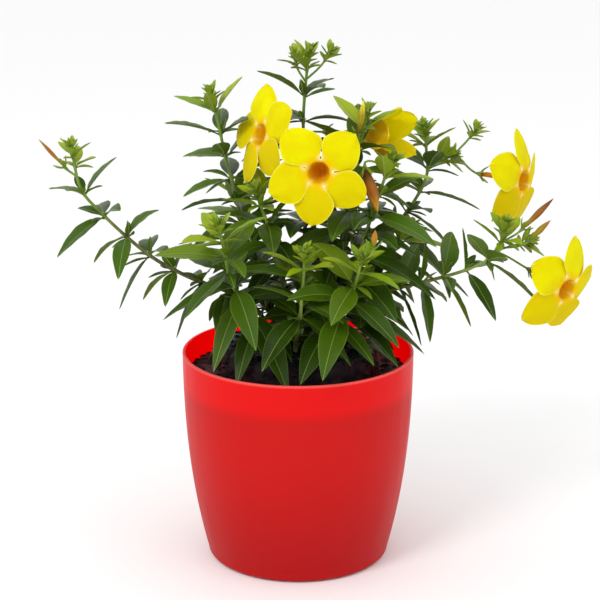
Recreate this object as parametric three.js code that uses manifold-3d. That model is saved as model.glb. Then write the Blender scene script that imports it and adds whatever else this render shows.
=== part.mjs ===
// A potted allamanda: a dwarf golden-trumpet shrub, in flower, in a plain red plastic pot.
// Millimetres, +Z up, -Y is the front. The origin is the centre of the pot's underside.
import * as THREE from "three";
import { mergeVertices } from "three/addons/utils/BufferGeometryUtils.js";
import Module from "manifold-3d";

const wasm = await Module();
wasm.setup();

// Pot
const RIM_RADIUS = 90;
const POT_HEIGHT = 166;
const BASE_RADIUS = 71.5;
const POT_FLARE = 2.38;
const POT_WAIST = 1.8;
const WALL = 2.4;
const FLOOR = 3;
const FOOT_FILLET = 5;
const FOOT_INSET = 8;
const LIP_ROUND = 0.8;
const POT_SIDES = 42;
const DRAIN_HOLES = 5;
const DRAIN_RADIUS = 4;
const DRAIN_CIRCLE = 40;
const DRAIN_TURN = 18;

// Soil: a root ball that stands a little proud of the loose mix round it
const SOIL_EDGE = 149;
const MOUND_RADIUS = 60;
const MOUND_TOP = 173;
const SOIL_GAP = 0.35;
const SOIL_SIDES = 30;
const LUMP_HEIGHT = 1.2;
const HOLE_RADIUS = 2.9;
const ROOT_DEPTH = 40;
const COLLAR = 4;
const SEAT_GAP = 0.3;

// Heights of the rings of the pot's outside, and of its well, which the soil fills
const POT_LEVELS = [22, 46, 76, 112, 142];
const WELL_LEVELS = [9, 46, 100, SOIL_EDGE - 1];

// Stems
const STEM_RADIUS = 2.1;
const TIP_RADIUS = 1;
const SIDE_RADIUS = 0.85;
const NODE_SWELL = 1.15;
const NODE_HALF = 1.3;
const STEM_SIDES = 6;
const STEM_STEP = 17;
const CUP_SIDES = 5;
const CUP_DEPTH = 3;
const STALK_BEND = 0.4;

// Leaves
const LEAF_SLIMNESS = 0.174;
const LEAF_FOLD = 0.3;
const LEAF_THICKNESS = 1;
const PETIOLE_HALF_WIDTH = 0.45;
const YOUNG_LEAF = 22;
const SMALL_LEAF = 45;
const LEAF_CLEARANCE = 2.4;
const OWN_CLEARANCE = 1.2;
const SAMPLE_STEP = 1.9;
const SAMPLE_START = 6;

// Blooms
const TUBE_LENGTH = 37;
const MOUTH_RADIUS = 9;
const TUBE_WALL = 1;
const PETALS = 5;
const PETAL_LENGTH = 31;
const PETAL_HALF_WIDTH = 16;
const PETAL_THICKNESS = 0.9;
const PETAL_STATIONS = [0.12, 0.34, 0.64, 0.88];

const FRONT = new THREE.Vector3(0, -1, 0);
const UP = new THREE.Vector3(0, 0, 1);
const rad = THREE.MathUtils.degToRad;
const vec = (x, y, z) => new THREE.Vector3(x, y, z);
const circle = (count, place) => Array.from({ length: count }, (_, i) => place((360 * i) / count));

// Looks
const plainFinish = (color, roughness) => new THREE.MeshStandardMaterial({ color, roughness, metalness: 0 });
const potRed = plainFinish(0xdb1f1f, 0.4);
const soilBlack = plainFinish(0x1b1a1c, 0.9);
const leafGreen = plainFinish(0x2f6a14, 0.45);
const petalYellow = plainFinish(0xf2e106, 0.5);
const budOrange = plainFinish(0xc9822e, 0.55);

// The blooms: the centre of the mouth, the way it faces, where its petals lie, and how far it opens.
// `wide` is the share of their length that the petals of a half-open one spread out sideways.
const BLOOMS = [
  {
    name: "bloom_front", mouth: [15, -52, 318], faces: [-0.1, -1, 0.04], turn: 46,
    petals: [43, 123, 198, 258, 326], open: 0.9, curl: 2,
  },
  { name: "bloom_left", mouth: [-29, -4, 337], faces: [-0.84, -0.48, 0.27], turn: 33, open: 0.6, curl: 6 },
  {
    name: "bloom_rear", mouth: [54, 30, 330], faces: [0.83, -0.55, 0.06], turn: 19,
    open: 1.5, curl: 1.5, wide: 0.45,
  },
  { name: "bloom_right", mouth: [177, 45, 290], faces: [0.82, -0.55, -0.02], turn: 6, open: 0.3, curl: 13 },
  { name: "bloom_low", mouth: [203, -31, 223], faces: [0.64, -0.74, -0.2], turn: 69, open: 0.5, curl: 13 },
];

// The coloured buds: heel, point and radius
const BUDS = [
  { name: "bud_left_tip", heel: [-175, -26, 318], point: [-192, -31, 339], radius: 2.6 },
  { name: "bud_right", heel: [170, -24, 270], point: [191, -27, 293], radius: 3.2 },
  { name: "bud_right_green", heel: [174, -30, 262], point: [188, -38, 279], radius: 2.6 },
  { name: "bud_upper", heel: [46, -5, 338], point: [49, -8, 364], radius: 3 },
  { name: "bud_spent", heel: [50, -37, 317], point: [59, -42, 286], radius: 5.2 },
  { name: "bud_front", heel: [55, -74, 268], point: [56, -76, 281], radius: 2.6 },
];

// The stems. A shoot with `root` stands in the soil there. One with `from` grows out of shoot number `of`,
// that many millimetres back from its tip. Leaves stand in threes, `spacing` apart, from `first` down to
// `bare` above the root. `stalk` names the bloom or bud that a bare shoot carries.
const STEMS = [
  {
    name: "stem_left_trailing",
    shoots: [
      {
        root: [-24, 2], spacing: 23, length: 39, turn: 20, bare: 30, droop: 0.22, seed: 395,
        via: [[-30, 0, 196], [-50, -4, 212], [-80, -8, 225], [-106, -12, 240], [-126, -16, 257],
          [-148, -20, 280], [-163, -22, 300], [-169, -24, 334]],
      },
      { of: 0, from: 30, stalk: "bud_left_tip" },
    ],
  },
  {
    name: "stem_left_upright",
    shoots: [
      {
        root: [-16, 16], spacing: 18, length: 48, turn: 90, bare: 16, droop: 0.1, seed: 37,
        via: [[-28, 22, 205], [-41, 26, 250], [-49, 30, 284], [-56, 32, 311], [-61, 34, 335], [-68, 36, 364]],
      },
    ],
  },
  {
    name: "stem_centre_upright",
    shoots: [
      {
        root: [2, 19], spacing: 20, length: 48, turn: 60, bare: 30, droop: 0.32, seed: 467,
        via: [[2, 24, 200], [5, 30, 246], [6, 36, 290], [4, 42, 335], [6, 45, 368], [9, 46, 395]],
      },
      { of: 0, from: 27, turn: 70, seed: 586, via: [[-1, 44, 380], [-3, 43, 392]] },
      { of: 0, from: 25, turn: 70, seed: 526, via: [[18, 47, 381], [26, 48, 394]] },
      { of: 0, from: 96, stalk: "bloom_front" },
      { of: 0, from: 84, stalk: "bloom_left" },
      { of: 0, from: 72, stalk: "bloom_rear" },
    ],
  },
  {
    name: "stem_left_front",
    shoots: [
      {
        root: [-18, -13], spacing: 13.5, length: 54, turn: 50, bare: 2, hang: 58, seed: 4,
        via: [[-26, -22, 190], [-42, -38, 214], [-51, -50, 240], [-55, -56, 262], [-59, -60, 284]],
      },
    ],
  },
  {
    name: "stem_right_front",
    shoots: [
      {
        root: [12, -18], spacing: 13.5, length: 56, turn: 20, bare: 2, hang: 58, seed: 556,
        via: [[22, -31, 190], [35, -48, 213], [43, -60, 238], [48, -68, 262]],
      },
      { of: 0, from: 12, stalk: "bud_front" },
    ],
  },
  {
    name: "stem_right_upper",
    shoots: [
      {
        root: [12, 4], spacing: 16, length: 53, turn: 80, bare: 26, droop: 0.16, seed: 160,
        via: [[22, 6, 200], [34, 4, 244], [42, 0, 292], [46, -2, 324], [53, 0, 357]],
      },
      { of: 0, from: 34, stalk: "bud_upper" },
    ],
  },
  {
    name: "stem_right_mid",
    shoots: [
      {
        root: [24, -4], spacing: 17, length: 53, turn: 50, bare: 18, droop: 0.22, seed: 493,
        via: [[32, -8, 198], [47, -18, 250], [58, -26, 288], [66, -31, 314], [71, -33, 326]],
      },
      { of: 0, from: 14, stalk: "bud_spent" },
    ],
  },
  {
    name: "stem_right_rear",
    shoots: [
      {
        root: [20, 14], spacing: 19, length: 48, turn: 30, bare: 20, droop: 0.22, seed: 392,
        via: [[32, 26, 200], [57, 42, 232], [85, 52, 262], [101, 57, 290], [101, 60, 312], [99, 60, 333]],
      },
      {
        of: 0, from: 36, first: 14, spacing: 12, length: 36, turn: 0, bare: 5, seed: 180,
        via: [[112, 58, 304], [124, 57, 309]],
      },
      { of: 1, from: 2, turn: 50, seed: 548, via: [[133, 57, 320], [141, 57, 331]] },
      { of: 1, from: 4, stalk: "bloom_right" },
    ],
  },
  {
    name: "stem_right_trailing",
    shoots: [
      {
        root: [30, 6], spacing: 18, length: 46, turn: 10, bare: 18, droop: 0.1, seed: 122,
        via: [[42, 2, 196], [68, -4, 214], [97, -12, 224], [130, -18, 236], [150, -22, 250], [156, -22, 275]],
      },
      { of: 0, from: 24, turn: 60, seed: 393, via: [[166, -14, 254], [178, -12, 256]] },
      { of: 0, from: 28, stalk: "bud_right" },
      { of: 0, from: 31, stalk: "bud_right_green" },
      { of: 0, from: 36, stalk: "bloom_low" },
    ],
  },
  {
    name: "stem_back_left",
    shoots: [
      {
        root: [-8, 32], spacing: 17, length: 55, turn: 20, bare: 8, seed: 254,
        via: [[-18, 42, 192], [-32, 58, 222], [-42, 72, 256], [-46, 80, 284]],
      },
    ],
  },
  {
    name: "stem_back_right",
    shoots: [
      {
        root: [14, 33], spacing: 17, length: 55, turn: 10, bare: 8, seed: 51,
        via: [[22, 44, 192], [34, 62, 224], [44, 78, 256], [48, 88, 284]],
      },
    ],
  },
  {
    name: "stem_centre_front",
    shoots: [
      {
        root: [-2, -28], spacing: 13, length: 52, turn: 10, bare: 2, hang: 58, seed: 328,
        via: [[-1, -40, 188], [2, -50, 212], [4, -54, 238], [5, -56, 262]],
      },
    ],
  },
  {
    name: "stem_left_inner",
    shoots: [
      {
        root: [-6, 2], spacing: 17, length: 50, turn: 20, bare: 8, seed: 160,
        via: [[-10, 4, 206], [-18, -2, 252], [-28, -10, 282], [-33, -14, 300]],
      },
    ],
  },
  {
    name: "stem_right_inner",
    shoots: [
      {
        root: [34, 20], spacing: 15, length: 52, turn: 70, bare: 2, seed: 464,
        via: [[44, 24, 194], [60, 28, 218], [78, 32, 242], [88, 34, 260]],
      },
    ],
  },
];

// A small repeatable source of numbers from 0 to 1
function dice(seed) {
  let state = Math.imul(seed, 2654435761) >>> 0;
  return () => {
    state = (Math.imul(state, 1664525) + 1013904223) >>> 0;
    return state / 4294967296;
  };
}

// A closed surface, built up from loops of points. A loop of one point is a tip.
class Skin {
  points = [];
  faces = [];

  loop(points) {
    const first = this.points.length;
    this.points.push(...points);
    return points.map((_, i) => first + i);
  }

  // A quad, split from its first to its third corner, or the other way
  quad([a, b, c, d], isMirrored) {
    if (isMirrored) this.faces.push([a, b, d], [b, c, d]);
    else this.faces.push([a, b, c], [a, c, d]);
  }

  // Side j of the band between two loops
  side(lower, upper, j) {
    const k = (j + 1) % lower.length;
    return [lower[j], lower[k], upper[k], upper[j]];
  }

  // The band between two loops. From side `underside` on, the quads are split the other way, so that
  // the two faces of a thin blade are split alike.
  band(lower, upper, underside = Infinity) {
    if (lower.length === 1) {
      upper.forEach((p, j) => this.faces.push([lower[0], upper[(j + 1) % upper.length], p]));
    } else if (upper.length === 1) {
      lower.forEach((p, j) => this.faces.push([p, lower[(j + 1) % lower.length], upper[0]]));
    } else {
      lower.forEach((_, j) => this.quad(this.side(lower, upper, j), j >= underside));
    }
  }

  // Bands through rows of points, on from a loop that is already there. Returns the last loop.
  bands(start, rows, underside) {
    return rows.reduce((last, points) => {
      const next = this.loop(points);
      this.band(last, next, underside);
      return next;
    }, start);
  }

  solid() {
    const geometry = new THREE.BufferGeometry();
    const numbers = this.points.flatMap((p) => [p.x, p.y, p.z]);
    geometry.setAttribute("position", new THREE.Float32BufferAttribute(numbers, 3));
    geometry.setIndex(this.faces.flat());
    return solidOf(geometry);
  }
}

function loft([first, ...rows], underside) {
  const skin = new Skin();
  skin.bands(skin.loop(first), rows, underside);
  return skin.solid();
}

function solidOf(geometry) {
  geometry.deleteAttribute("normal");
  geometry.deleteAttribute("uv");
  const merged = mergeVertices(geometry, 1e-4);
  return new wasm.Manifold(
    new wasm.Mesh({
      numProp: 3,
      vertProperties: merged.attributes.position.array,
      triVerts: new Uint32Array(merged.index.array),
    }),
  );
}

function joined(solids) {
  return solids.reduce((whole, solid) => whole.add(solid));
}

function meshOf(name, solid, material) {
  const made = solid.getMesh();
  const points = new Float32Array(made.numVert * 3);
  for (let i = 0; i < made.numVert; i++) {
    points.set(made.vertProperties.subarray(i * made.numProp, i * made.numProp + 3), i * 3);
  }
  const geometry = new THREE.BufferGeometry();
  geometry.setAttribute("position", new THREE.BufferAttribute(points, 3));
  geometry.setIndex(new THREE.BufferAttribute(made.triVerts, 1));
  geometry.computeVertexNormals();
  const mesh = new THREE.Mesh(geometry, material);
  mesh.name = name;
  return mesh;
}

// The line that a stem follows, measured in millimetres back from its tip. A `root` point, where it
// is given, comes first, and the stem is straight from there to the start of the curve.
class Route {
  constructor(curve, divisions, root = null) {
    this.line = curve.getPoints(divisions).reverse();
    this.straight = root ? root.distanceTo(this.line.at(-1)) : 0;
    if (root) this.line.push(root);
    this.reach = [0];
    for (let i = 1; i < this.line.length; i++) {
      this.reach.push(this.reach[i - 1] + this.line[i].distanceTo(this.line[i - 1]));
    }
    this.length = this.reach.at(-1);
  }

  at(distance) {
    const d = Math.min(Math.max(distance, 0), this.length);
    let i = 1;
    while (i < this.line.length - 1 && this.reach[i] < d) i++;
    const share = (d - this.reach[i - 1]) / (this.reach[i] - this.reach[i - 1]);
    return this.line[i - 1].clone().lerp(this.line[i], share);
  }

  // Unit vector towards the tip
  heading(distance) {
    return this.at(distance - 1.5).sub(this.at(distance + 1.5)).normalize();
  }

  // Unit vector away from the stem: 0 degrees is to the front, and 90 to the right of an upright stem
  outward(distance, degrees) {
    const along = this.heading(distance);
    const front = FRONT.clone().addScaledVector(along, -along.dot(FRONT)).normalize();
    const beside = along.clone().cross(front);
    return front.multiplyScalar(Math.cos(rad(degrees))).addScaledVector(beside, Math.sin(rad(degrees)));
  }

  ring(distance, radius, sides, turn) {
    const middle = this.at(distance);
    return circle(sides, (angle) =>
      middle.clone().addScaledVector(this.outward(distance, angle + turn), radius));
  }
}

// Where a leaf's spine is at a share t of its length, and its three directions there
function leafFrame(leaf, t) {
  const { base, direction, length, droop } = leaf;
  const middle = base.clone().addScaledVector(direction, length * t);
  middle.addScaledVector(UP, -droop * length * t * t);
  const tangent = direction.clone().addScaledVector(UP, -2 * droop * t).normalize();
  const side = leaf.side.clone().addScaledVector(tangent, -tangent.dot(leaf.side)).normalize();
  return { middle, side, normal: side.clone().cross(tangent) };
}

// Lance-shaped: widest before the middle, with a drawn-out tip
function leafHalfWidth(leaf, t) {
  const blade = Math.max(0, (t - 0.08) / 0.92);
  const swell = Math.max(0, Math.sin(Math.PI * blade ** 0.85)) ** 0.85;
  return PETIOLE_HALF_WIDTH + leaf.width * swell * (1 - 0.25 * blade * blade);
}

// A point of the leaf's upper face, from its left edge, s = -1, to its right edge, s = 1. It is folded
// up a little on both sides of the midrib.
function leafPoint(leaf, t, s) {
  const { middle, side, normal } = leafFrame(leaf, t);
  const across = s * leafHalfWidth(leaf, t);
  return middle.addScaledVector(side, across).addScaledVector(normal, LEAF_FOLD * Math.abs(across));
}

function leafRows(leaf) {
  let stations = [0.24, 0.52, 0.8];
  if (leaf.length < SMALL_LEAF) stations = [0.3, 0.68];
  if (leaf.length < YOUNG_LEAF) stations = [0.5];
  const rows = stations.map((t) => {
    const under = leafPoint(leaf, t, 0).addScaledVector(leafFrame(leaf, t).normal, -LEAF_THICKNESS);
    return [leafPoint(leaf, t, -1), leafPoint(leaf, t, 0), leafPoint(leaf, t, 1), under];
  });
  return [...rows, [leafPoint(leaf, 1, 0)]];
}

// Draws a blade out of one quad of a skin. The quad's corners are taken in the order that twists least.
function drawBlade(skin, corners, rows) {
  const centre = corners.reduce((sum, i) => sum.add(skin.points[i]), vec(0, 0, 0)).divideScalar(4);
  const hub = rows[0].reduce((sum, p) => sum.add(p), vec(0, 0, 0)).divideScalar(4);
  let best = -Infinity;
  let start = corners;
  for (let shift = 0; shift < 4; shift++) {
    const order = corners.map((_, i) => corners[(i + shift) % 4]);
    const match = order.reduce((sum, corner, i) => {
      const out = skin.points[corner].clone().sub(centre).normalize();
      return sum + out.dot(rows[0][i].clone().sub(hub).normalize());
    }, 0);
    if (match > best) [best, start] = [match, order];
  }
  skin.bands(start, rows, 2);
}

// The space that is taken, as points in cells, so that leaves lie clear of each other
const taken = new Map();
const cellOf = (x) => Math.floor(x / LEAF_CLEARANCE) + 500;
const keyOf = (i, j, k) => (i * 1000 + j) * 1000 + k;

function take(points, owner) {
  for (const p of points) {
    const key = keyOf(cellOf(p.x), cellOf(p.y), cellOf(p.z));
    if (!taken.has(key)) taken.set(key, []);
    taken.get(key).push({ p, owner });
  }
}

function isNear(p, owner, i, j, k) {
  return (taken.get(keyOf(cellOf(p.x) + i, cellOf(p.y) + j, cellOf(p.z) + k)) ?? []).some((other) => {
    const clearance = other.owner === owner ? OWN_CLEARANCE : LEAF_CLEARANCE;
    return other.p.distanceToSquared(p) < clearance * clearance;
  });
}

const NEIGHBOURS = [-1, 0, 1].flatMap((i) => [-1, 0, 1].flatMap((j) => [-1, 0, 1].map((k) => [i, j, k])));

function isFree(points, owner) {
  return points.every((p) => !isInPot(p) && !NEIGHBOURS.some(([i, j, k]) => isNear(p, owner, i, j, k)));
}

// In the soil, in the pot's wall, or outside it below its rim
function isInPot(p) {
  const out = Math.hypot(p.x, p.y);
  if (p.z > POT_HEIGHT + 2) return out < MOUND_RADIUS && p.z < MOUND_TOP + 3;
  if (out > RIM_RADIUS - 5) return true;
  return p.z < (out < MOUND_RADIUS + 4 ? MOUND_TOP : SOIL_EDGE) + 4;
}

function leafSamples(leaf) {
  const points = [];
  const rows = Math.ceil(leaf.length / SAMPLE_STEP);
  for (let i = 1; i <= rows; i++) {
    const t = i / rows;
    if (t * leaf.length < Math.min(SAMPLE_START, 0.7 * leaf.length)) continue;
    const across = Math.ceil(leafHalfWidth(leaf, t) / SAMPLE_STEP);
    for (let j = -across; j <= across; j++) points.push(leafPoint(leaf, t, j / across));
  }
  return points;
}

// Ways that a leaf gives way to what is there: degrees round the stem, degrees of lift, share of length
const GIVES = [
  [0, 0, 1], [14, 0, 1], [-14, 0, 1], [0, 16, 1], [0, -16, 1], [24, 12, 1], [-24, 12, 1], [26, -14, 0.9],
  [-26, -14, 0.9], [0, 30, 0.85], [0, -30, 0.85], [0, 0, 0.7], [20, 18, 0.7], [-20, 18, 0.7],
];

// A leaf, placed where it is free, or null where there is no room for it
function growLeaf(shoot, whorl, degrees, size, lift, roll) {
  const { route, radius, owner } = shoot;
  const { distance, droop } = whorl;
  const along = route.heading(distance);
  const slimness = LEAF_SLIMNESS * (0.85 + 0.3 * roll());
  const twist = rad(40 * (roll() - 0.5));
  const sag = droop + 0.14 * roll() * Math.min(1, distance / 20);
  const base = route.at(distance).addScaledVector(route.outward(distance, degrees), radius(distance) * 0.8);
  for (const [turn, raise, share] of GIVES) {
    const direction = route.outward(distance, degrees + turn);
    direction.multiplyScalar(Math.sin(rad(lift - raise)));
    direction.addScaledVector(along, Math.cos(rad(lift - raise)));
    const faces = UP.clone().multiplyScalar(0.8).addScaledVector(along, 0.5);
    const side = direction.clone().cross(faces).normalize().applyAxisAngle(direction, twist);
    const length = size * share;
    const leaf = { base, direction, side, length, width: slimness * length, droop: sag };
    const samples = leafSamples(leaf);
    if (isFree(samples, owner)) {
      take(samples, "leaf");
      return leaf;
    }
  }
  return null;
}

// Where the whorls stand on a shoot: two small ones in the tuft at its tip, then larger ones down it
function whorlsOf(shoot) {
  const whorls = [
    { distance: 3.4, size: 11, lift: 38, droop: 0.06 },
    { distance: 8.6, size: 18, lift: 52, droop: 0.12 },
  ];
  const { first = 17, spacing, length, bare, droop = 0.26, hang = 32 } = shoot;
  if (!spacing) return whorls;
  const end = shoot.route.length - shoot.route.straight - bare;
  for (let distance = first; distance < end; distance += spacing) {
    const age = Math.min(1, distance / 85);
    const size = length * Math.min(1, 0.55 + distance / 85);
    whorls.push({ distance, size, lift: 48 + hang * age, droop: 0.06 + droop * age });
  }
  return whorls;
}

// The leaves of a whorl stand on every second side of the stem, and those of the next one between them
function growWhorls(shoot) {
  const roll = dice(shoot.seed);
  whorlsOf(shoot).forEach((whorl, w) => {
    const leaves = new Map();
    for (let j = w % 2; j < STEM_SIDES; j += 2) {
      const middle = shoot.turn + ((j + 0.5) * 360) / STEM_SIDES;
      const degrees = middle + 20 * (roll() - 0.5);
      const size = whorl.size * (0.84 + 0.32 * roll());
      const lift = whorl.lift + 18 * (roll() - 0.5);
      const leaf = growLeaf(shoot, whorl, degrees, size, lift, roll);
      if (leaf) leaves.set(j, leaf);
    }
    shoot.whorls.push({ distance: whorl.distance, leaves });
  });
}

// A flower's calyx: five narrow sepals round the end of its stalk
function growSepals(shoot) {
  const distance = CUP_DEPTH / 2;
  const leaves = new Map();
  const along = shoot.route.heading(distance);
  for (let j = 0; j < CUP_SIDES; j++) {
    const outward = shoot.route.outward(distance, ((j + 0.5) * 360) / CUP_SIDES);
    const base = shoot.route.at(distance).addScaledVector(outward, shoot.cup);
    const direction = outward.clone().multiplyScalar(0.62).addScaledVector(along, 0.78).normalize();
    const side = direction.clone().cross(outward).normalize();
    const leaf = { base, direction, side, length: 8, width: 0.8, droop: 0 };
    take(leafSamples(leaf), shoot.owner);
    leaves.set(j, leaf);
  }
  shoot.whorls.push({ distance, leaves });
}

// One skin for a shoot: rings up the stem, a pair of them at each whorl, with its leaves drawn out of
// the sides between the pair
function shootSolid(shoot) {
  const { route, radius, sides, whorls } = shoot;
  const half = shoot.stalk ? CUP_DEPTH / 2 : NODE_HALF;
  const nodes = whorls.flatMap(({ distance }) => [distance - half, distance + half]);
  const levels = shoot.stalk ? nodes : [0, ...nodes];
  const curved = route.length - route.straight;
  const gap = curved - levels.at(-1);
  const plain = Math.max(1, Math.round(gap / STEM_STEP));
  for (let i = 1; i <= plain; i++) levels.push(curved - gap * (1 - i / plain));
  if (route.straight) levels.push(curved + 1, route.length);
  levels.reverse();

  const skin = new Skin();
  let last = skin.loop([route.at(route.length)]);
  for (const level of levels) {
    const whorl = whorls.find(({ distance }) => Math.abs(distance - half - level) < 1e-6);
    const next = skin.loop(route.ring(level, radius(level), sides, shoot.turn));
    if (whorl) {
      last.forEach((_, j) => {
        const corners = skin.side(last, next, j);
        const leaf = whorl.leaves.get(j);
        if (leaf) drawBlade(skin, corners, leafRows(leaf));
        else skin.quad(corners);
      });
    } else {
      skin.band(last, next);
    }
    last = next;
  }
  const point = shoot.stalk ? 0 : radius(0);
  skin.band(last, skin.loop([route.at(0).addScaledVector(route.heading(0), point)]));
  return skin.solid();
}

// What a stalk carries: the heel that it holds, the way that points, and the width of the cup for it
function carried(name) {
  const bloom = BLOOMS.find((one) => one.name === name);
  if (bloom) return { ...bloomFrame(bloom), cup: 2.3 };
  const { heel, point } = BUDS.find((one) => one.name === name);
  return { base: vec(...heel), axis: vec(...point).sub(vec(...heel)).normalize(), cup: 1.6 };
}

function stalkRoute(start, name) {
  const { base, axis } = carried(name);
  const end = base.clone().addScaledVector(axis, -SEAT_GAP);
  const neck = end.clone().addScaledVector(axis, -CUP_DEPTH);
  const reach = start.distanceTo(neck) * STALK_BEND;
  const rise = start.clone().addScaledVector(UP, reach);
  const approach = neck.clone().addScaledVector(axis, -reach);
  const path = new THREE.CurvePath();
  path.add(new THREE.CubicBezierCurve3(start, rise, approach, neck));
  path.add(new THREE.LineCurve3(neck, end));
  return new Route(path, 16);
}

// A smooth line through the points that are given for a stem
function through(points, root) {
  const curve = new THREE.CatmullRomCurve3(points, false, "catmullrom", 0.5);
  return new Route(curve, (points.length - 1) * 8, root);
}

function planShoot(shoot, stem, index) {
  const swollen = (distance, plain) =>
    shoot.whorls.some((whorl) => Math.abs(whorl.distance - distance) < NODE_HALF + 0.1)
      ? plain * NODE_SWELL
      : plain;
  shoot.owner = `${stem.name} ${index}`;
  shoot.whorls = [];
  shoot.sides = shoot.stalk ? CUP_SIDES : STEM_SIDES;
  if (shoot.root) {
    const [x, y] = shoot.root;
    const foot = vec(x, y, MOUND_TOP - ROOT_DEPTH + SEAT_GAP);
    shoot.route = through([vec(x, y, MOUND_TOP + COLLAR), ...shoot.via.map((p) => vec(...p))], foot);
    shoot.radius = (distance) =>
      swollen(distance, TIP_RADIUS + ((STEM_RADIUS - TIP_RADIUS) * distance) / shoot.route.length);
  } else {
    const start = stem.shoots[shoot.of].route.at(shoot.from);
    if (shoot.stalk) {
      shoot.turn = 0;
      shoot.cup = carried(shoot.stalk).cup;
      shoot.route = stalkRoute(start, shoot.stalk);
      shoot.radius = (distance) => (distance < CUP_DEPTH - 0.1 ? shoot.cup : SIDE_RADIUS);
    } else {
      shoot.route = through([start, ...shoot.via.map((p) => vec(...p))]);
      shoot.radius = (distance) => swollen(distance, SIDE_RADIUS);
    }
  }
  for (let distance = 0; distance <= shoot.route.length; distance += SAMPLE_STEP) {
    take(shoot.route.ring(distance, shoot.radius(distance), STEM_SIDES, 0), shoot.owner);
  }
  if (shoot.stalk) growSepals(shoot);
}

// A bloom's own frame: its heel, the way it faces, and a function that places a point by its distance
// from the axis, its angle round it, its height above the heel and its distance aside
function bloomFrame(bloom) {
  const axis = vec(...bloom.faces).normalize();
  const base = vec(...bloom.mouth).addScaledVector(axis, -TUBE_LENGTH);
  const across = UP.clone().cross(axis).normalize();
  const upward = axis.clone().cross(across);
  const place = (out, degrees, height, aside = 0) => {
    const radial = across.clone().multiplyScalar(Math.cos(rad(degrees)));
    radial.addScaledVector(upward, Math.sin(rad(degrees)));
    const beside = axis.clone().cross(radial);
    const point = base.clone().addScaledVector(axis, height).addScaledVector(radial, out);
    return point.addScaledVector(beside, aside);
  };
  const angles = bloom.petals ?? circle(PETALS, (angle) => bloom.turn + angle);
  return { axis, base, place, angles };
}

// Half the width of a petal: a narrow claw, broad and round beyond
function petalHalfWidth(t) {
  const widening = Math.sin((Math.PI / 2) * Math.min(1, t / 0.6)) ** 1.5;
  return PETAL_HALF_WIDTH * (0.28 + 0.72 * widening) * Math.sqrt(Math.max(0, 1 - t ** 5));
}

// A point of a petal, or of its back, `depth` behind it. It sets off forwards, spreads flat and curls
// back, tilted like a propeller's blade.
function petalPoint(frame, bloom, angle, t, s, depth = 0) {
  const { wide = 1 } = bloom;
  const ahead = Math.sqrt(1 - wide * wide);
  const across = s * petalHalfWidth(t) * (0.55 + 0.45 * wide) + 3 * t * t;
  const tilt = 0.16 * across * Math.min(1, 2 * t);
  const out = MOUTH_RADIUS - 1.2 + PETAL_LENGTH * t * wide - 0.008 * across * across * t;
  const spread = bloom.open * (1.6 * t - t * t) * 6 - bloom.curl * t ** 1.7 + PETAL_LENGTH * t * ahead;
  const height = TUBE_LENGTH + spread + tilt * wide - 0.008 * across * across;
  return frame.place(out + (1.6 * tilt + depth) * ahead, angle, height - depth * wide, across);
}

function petalRows(frame, bloom, angle) {
  const rows = PETAL_STATIONS.map((t) => {
    const behind = petalPoint(frame, bloom, angle, t, 0, PETAL_THICKNESS);
    return [...[1, 0, -1].map((s) => petalPoint(frame, bloom, angle, t, s)), behind];
  });
  return [...rows, [petalPoint(frame, bloom, angle, 1, 0)]];
}

// The trumpet, as radius and height: a thin tube that opens into a bell
const TRUMPET = [[1.6, 0], [1.9, 15], [4.6, 21], [7.2, 29], [MOUTH_RADIUS, TUBE_LENGTH]];
const BELL = TRUMPET.slice(2);

// One skin for a bloom: its petals are drawn out of every second side of the trumpet's rim
function makeBloom(bloom) {
  const frame = bloomFrame(bloom);
  const ring = ([out, height], wall) =>
    circle(2 * PETALS, (angle) => frame.place(out - wall, bloom.turn - 180 / PETALS / 2 + angle, height));
  const skin = new Skin();
  const heel = skin.loop([frame.place(0, 0, 0)]);
  const outer = skin.bands(heel, TRUMPET.map((level) => ring(level, 0)));
  const inner = skin.loop(ring(TRUMPET.at(-1), TUBE_WALL));
  outer.forEach((_, j) => {
    const corners = skin.side(outer, inner, j);
    if (j % 2) skin.quad(corners);
    else drawBlade(skin, corners, petalRows(frame, bloom, frame.angles[j / 2]));
  });
  const throat = frame.place(0, 0, TRUMPET[1][1] + 1);
  skin.bands(inner, [...BELL.slice(0, -1).reverse().map((level) => ring(level, TUBE_WALL)), [throat]]);
  return meshOf(bloom.name, skin.solid(), petalYellow);
}

function tubeRadius(height) {
  const i = Math.max(1, TRUMPET.findIndex(([, top]) => top >= height));
  const [[r0, h0], [r1, h1]] = [TRUMPET[i - 1], TRUMPET[i]];
  return r0 + ((r1 - r0) * (height - h0)) / (h1 - h0);
}

function bloomSamples(bloom) {
  const frame = bloomFrame(bloom);
  const points = [];
  for (const angle of frame.angles) {
    for (let i = 1; i <= 16; i++) {
      const across = Math.max(1, Math.ceil(petalHalfWidth(i / 16) / SAMPLE_STEP));
      for (let j = -across; j <= across; j++) {
        points.push(petalPoint(frame, bloom, angle, i / 16, j / across));
      }
    }
  }
  for (let height = 0; height <= TUBE_LENGTH; height += 2) {
    const radius = tubeRadius(height);
    const count = Math.max(6, Math.ceil((2 * Math.PI * radius) / SAMPLE_STEP));
    points.push(...circle(count, (angle) => frame.place(radius, angle, height)));
  }
  return points;
}

// A furled bud: a spindle with a slight twist, from its heel to its point
const SPINDLE = [[0.03, 0.45], [0.25, 0.75], [0.5, 1], [0.75, 0.7], [0.93, 0.25]];

function budRing(bud, share, size, sides) {
  const route = new Route(new THREE.LineCurve3(vec(...bud.heel), vec(...bud.point)), 2);
  return route.ring(route.length * (1 - share), bud.radius * size, sides, 60 * share);
}

function makeBud(bud) {
  const rings = SPINDLE.map(([share, size]) => budRing(bud, share, size, 6));
  return meshOf(bud.name, loft([[vec(...bud.heel)], ...rings, [vec(...bud.point)]]), budOrange);
}

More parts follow.
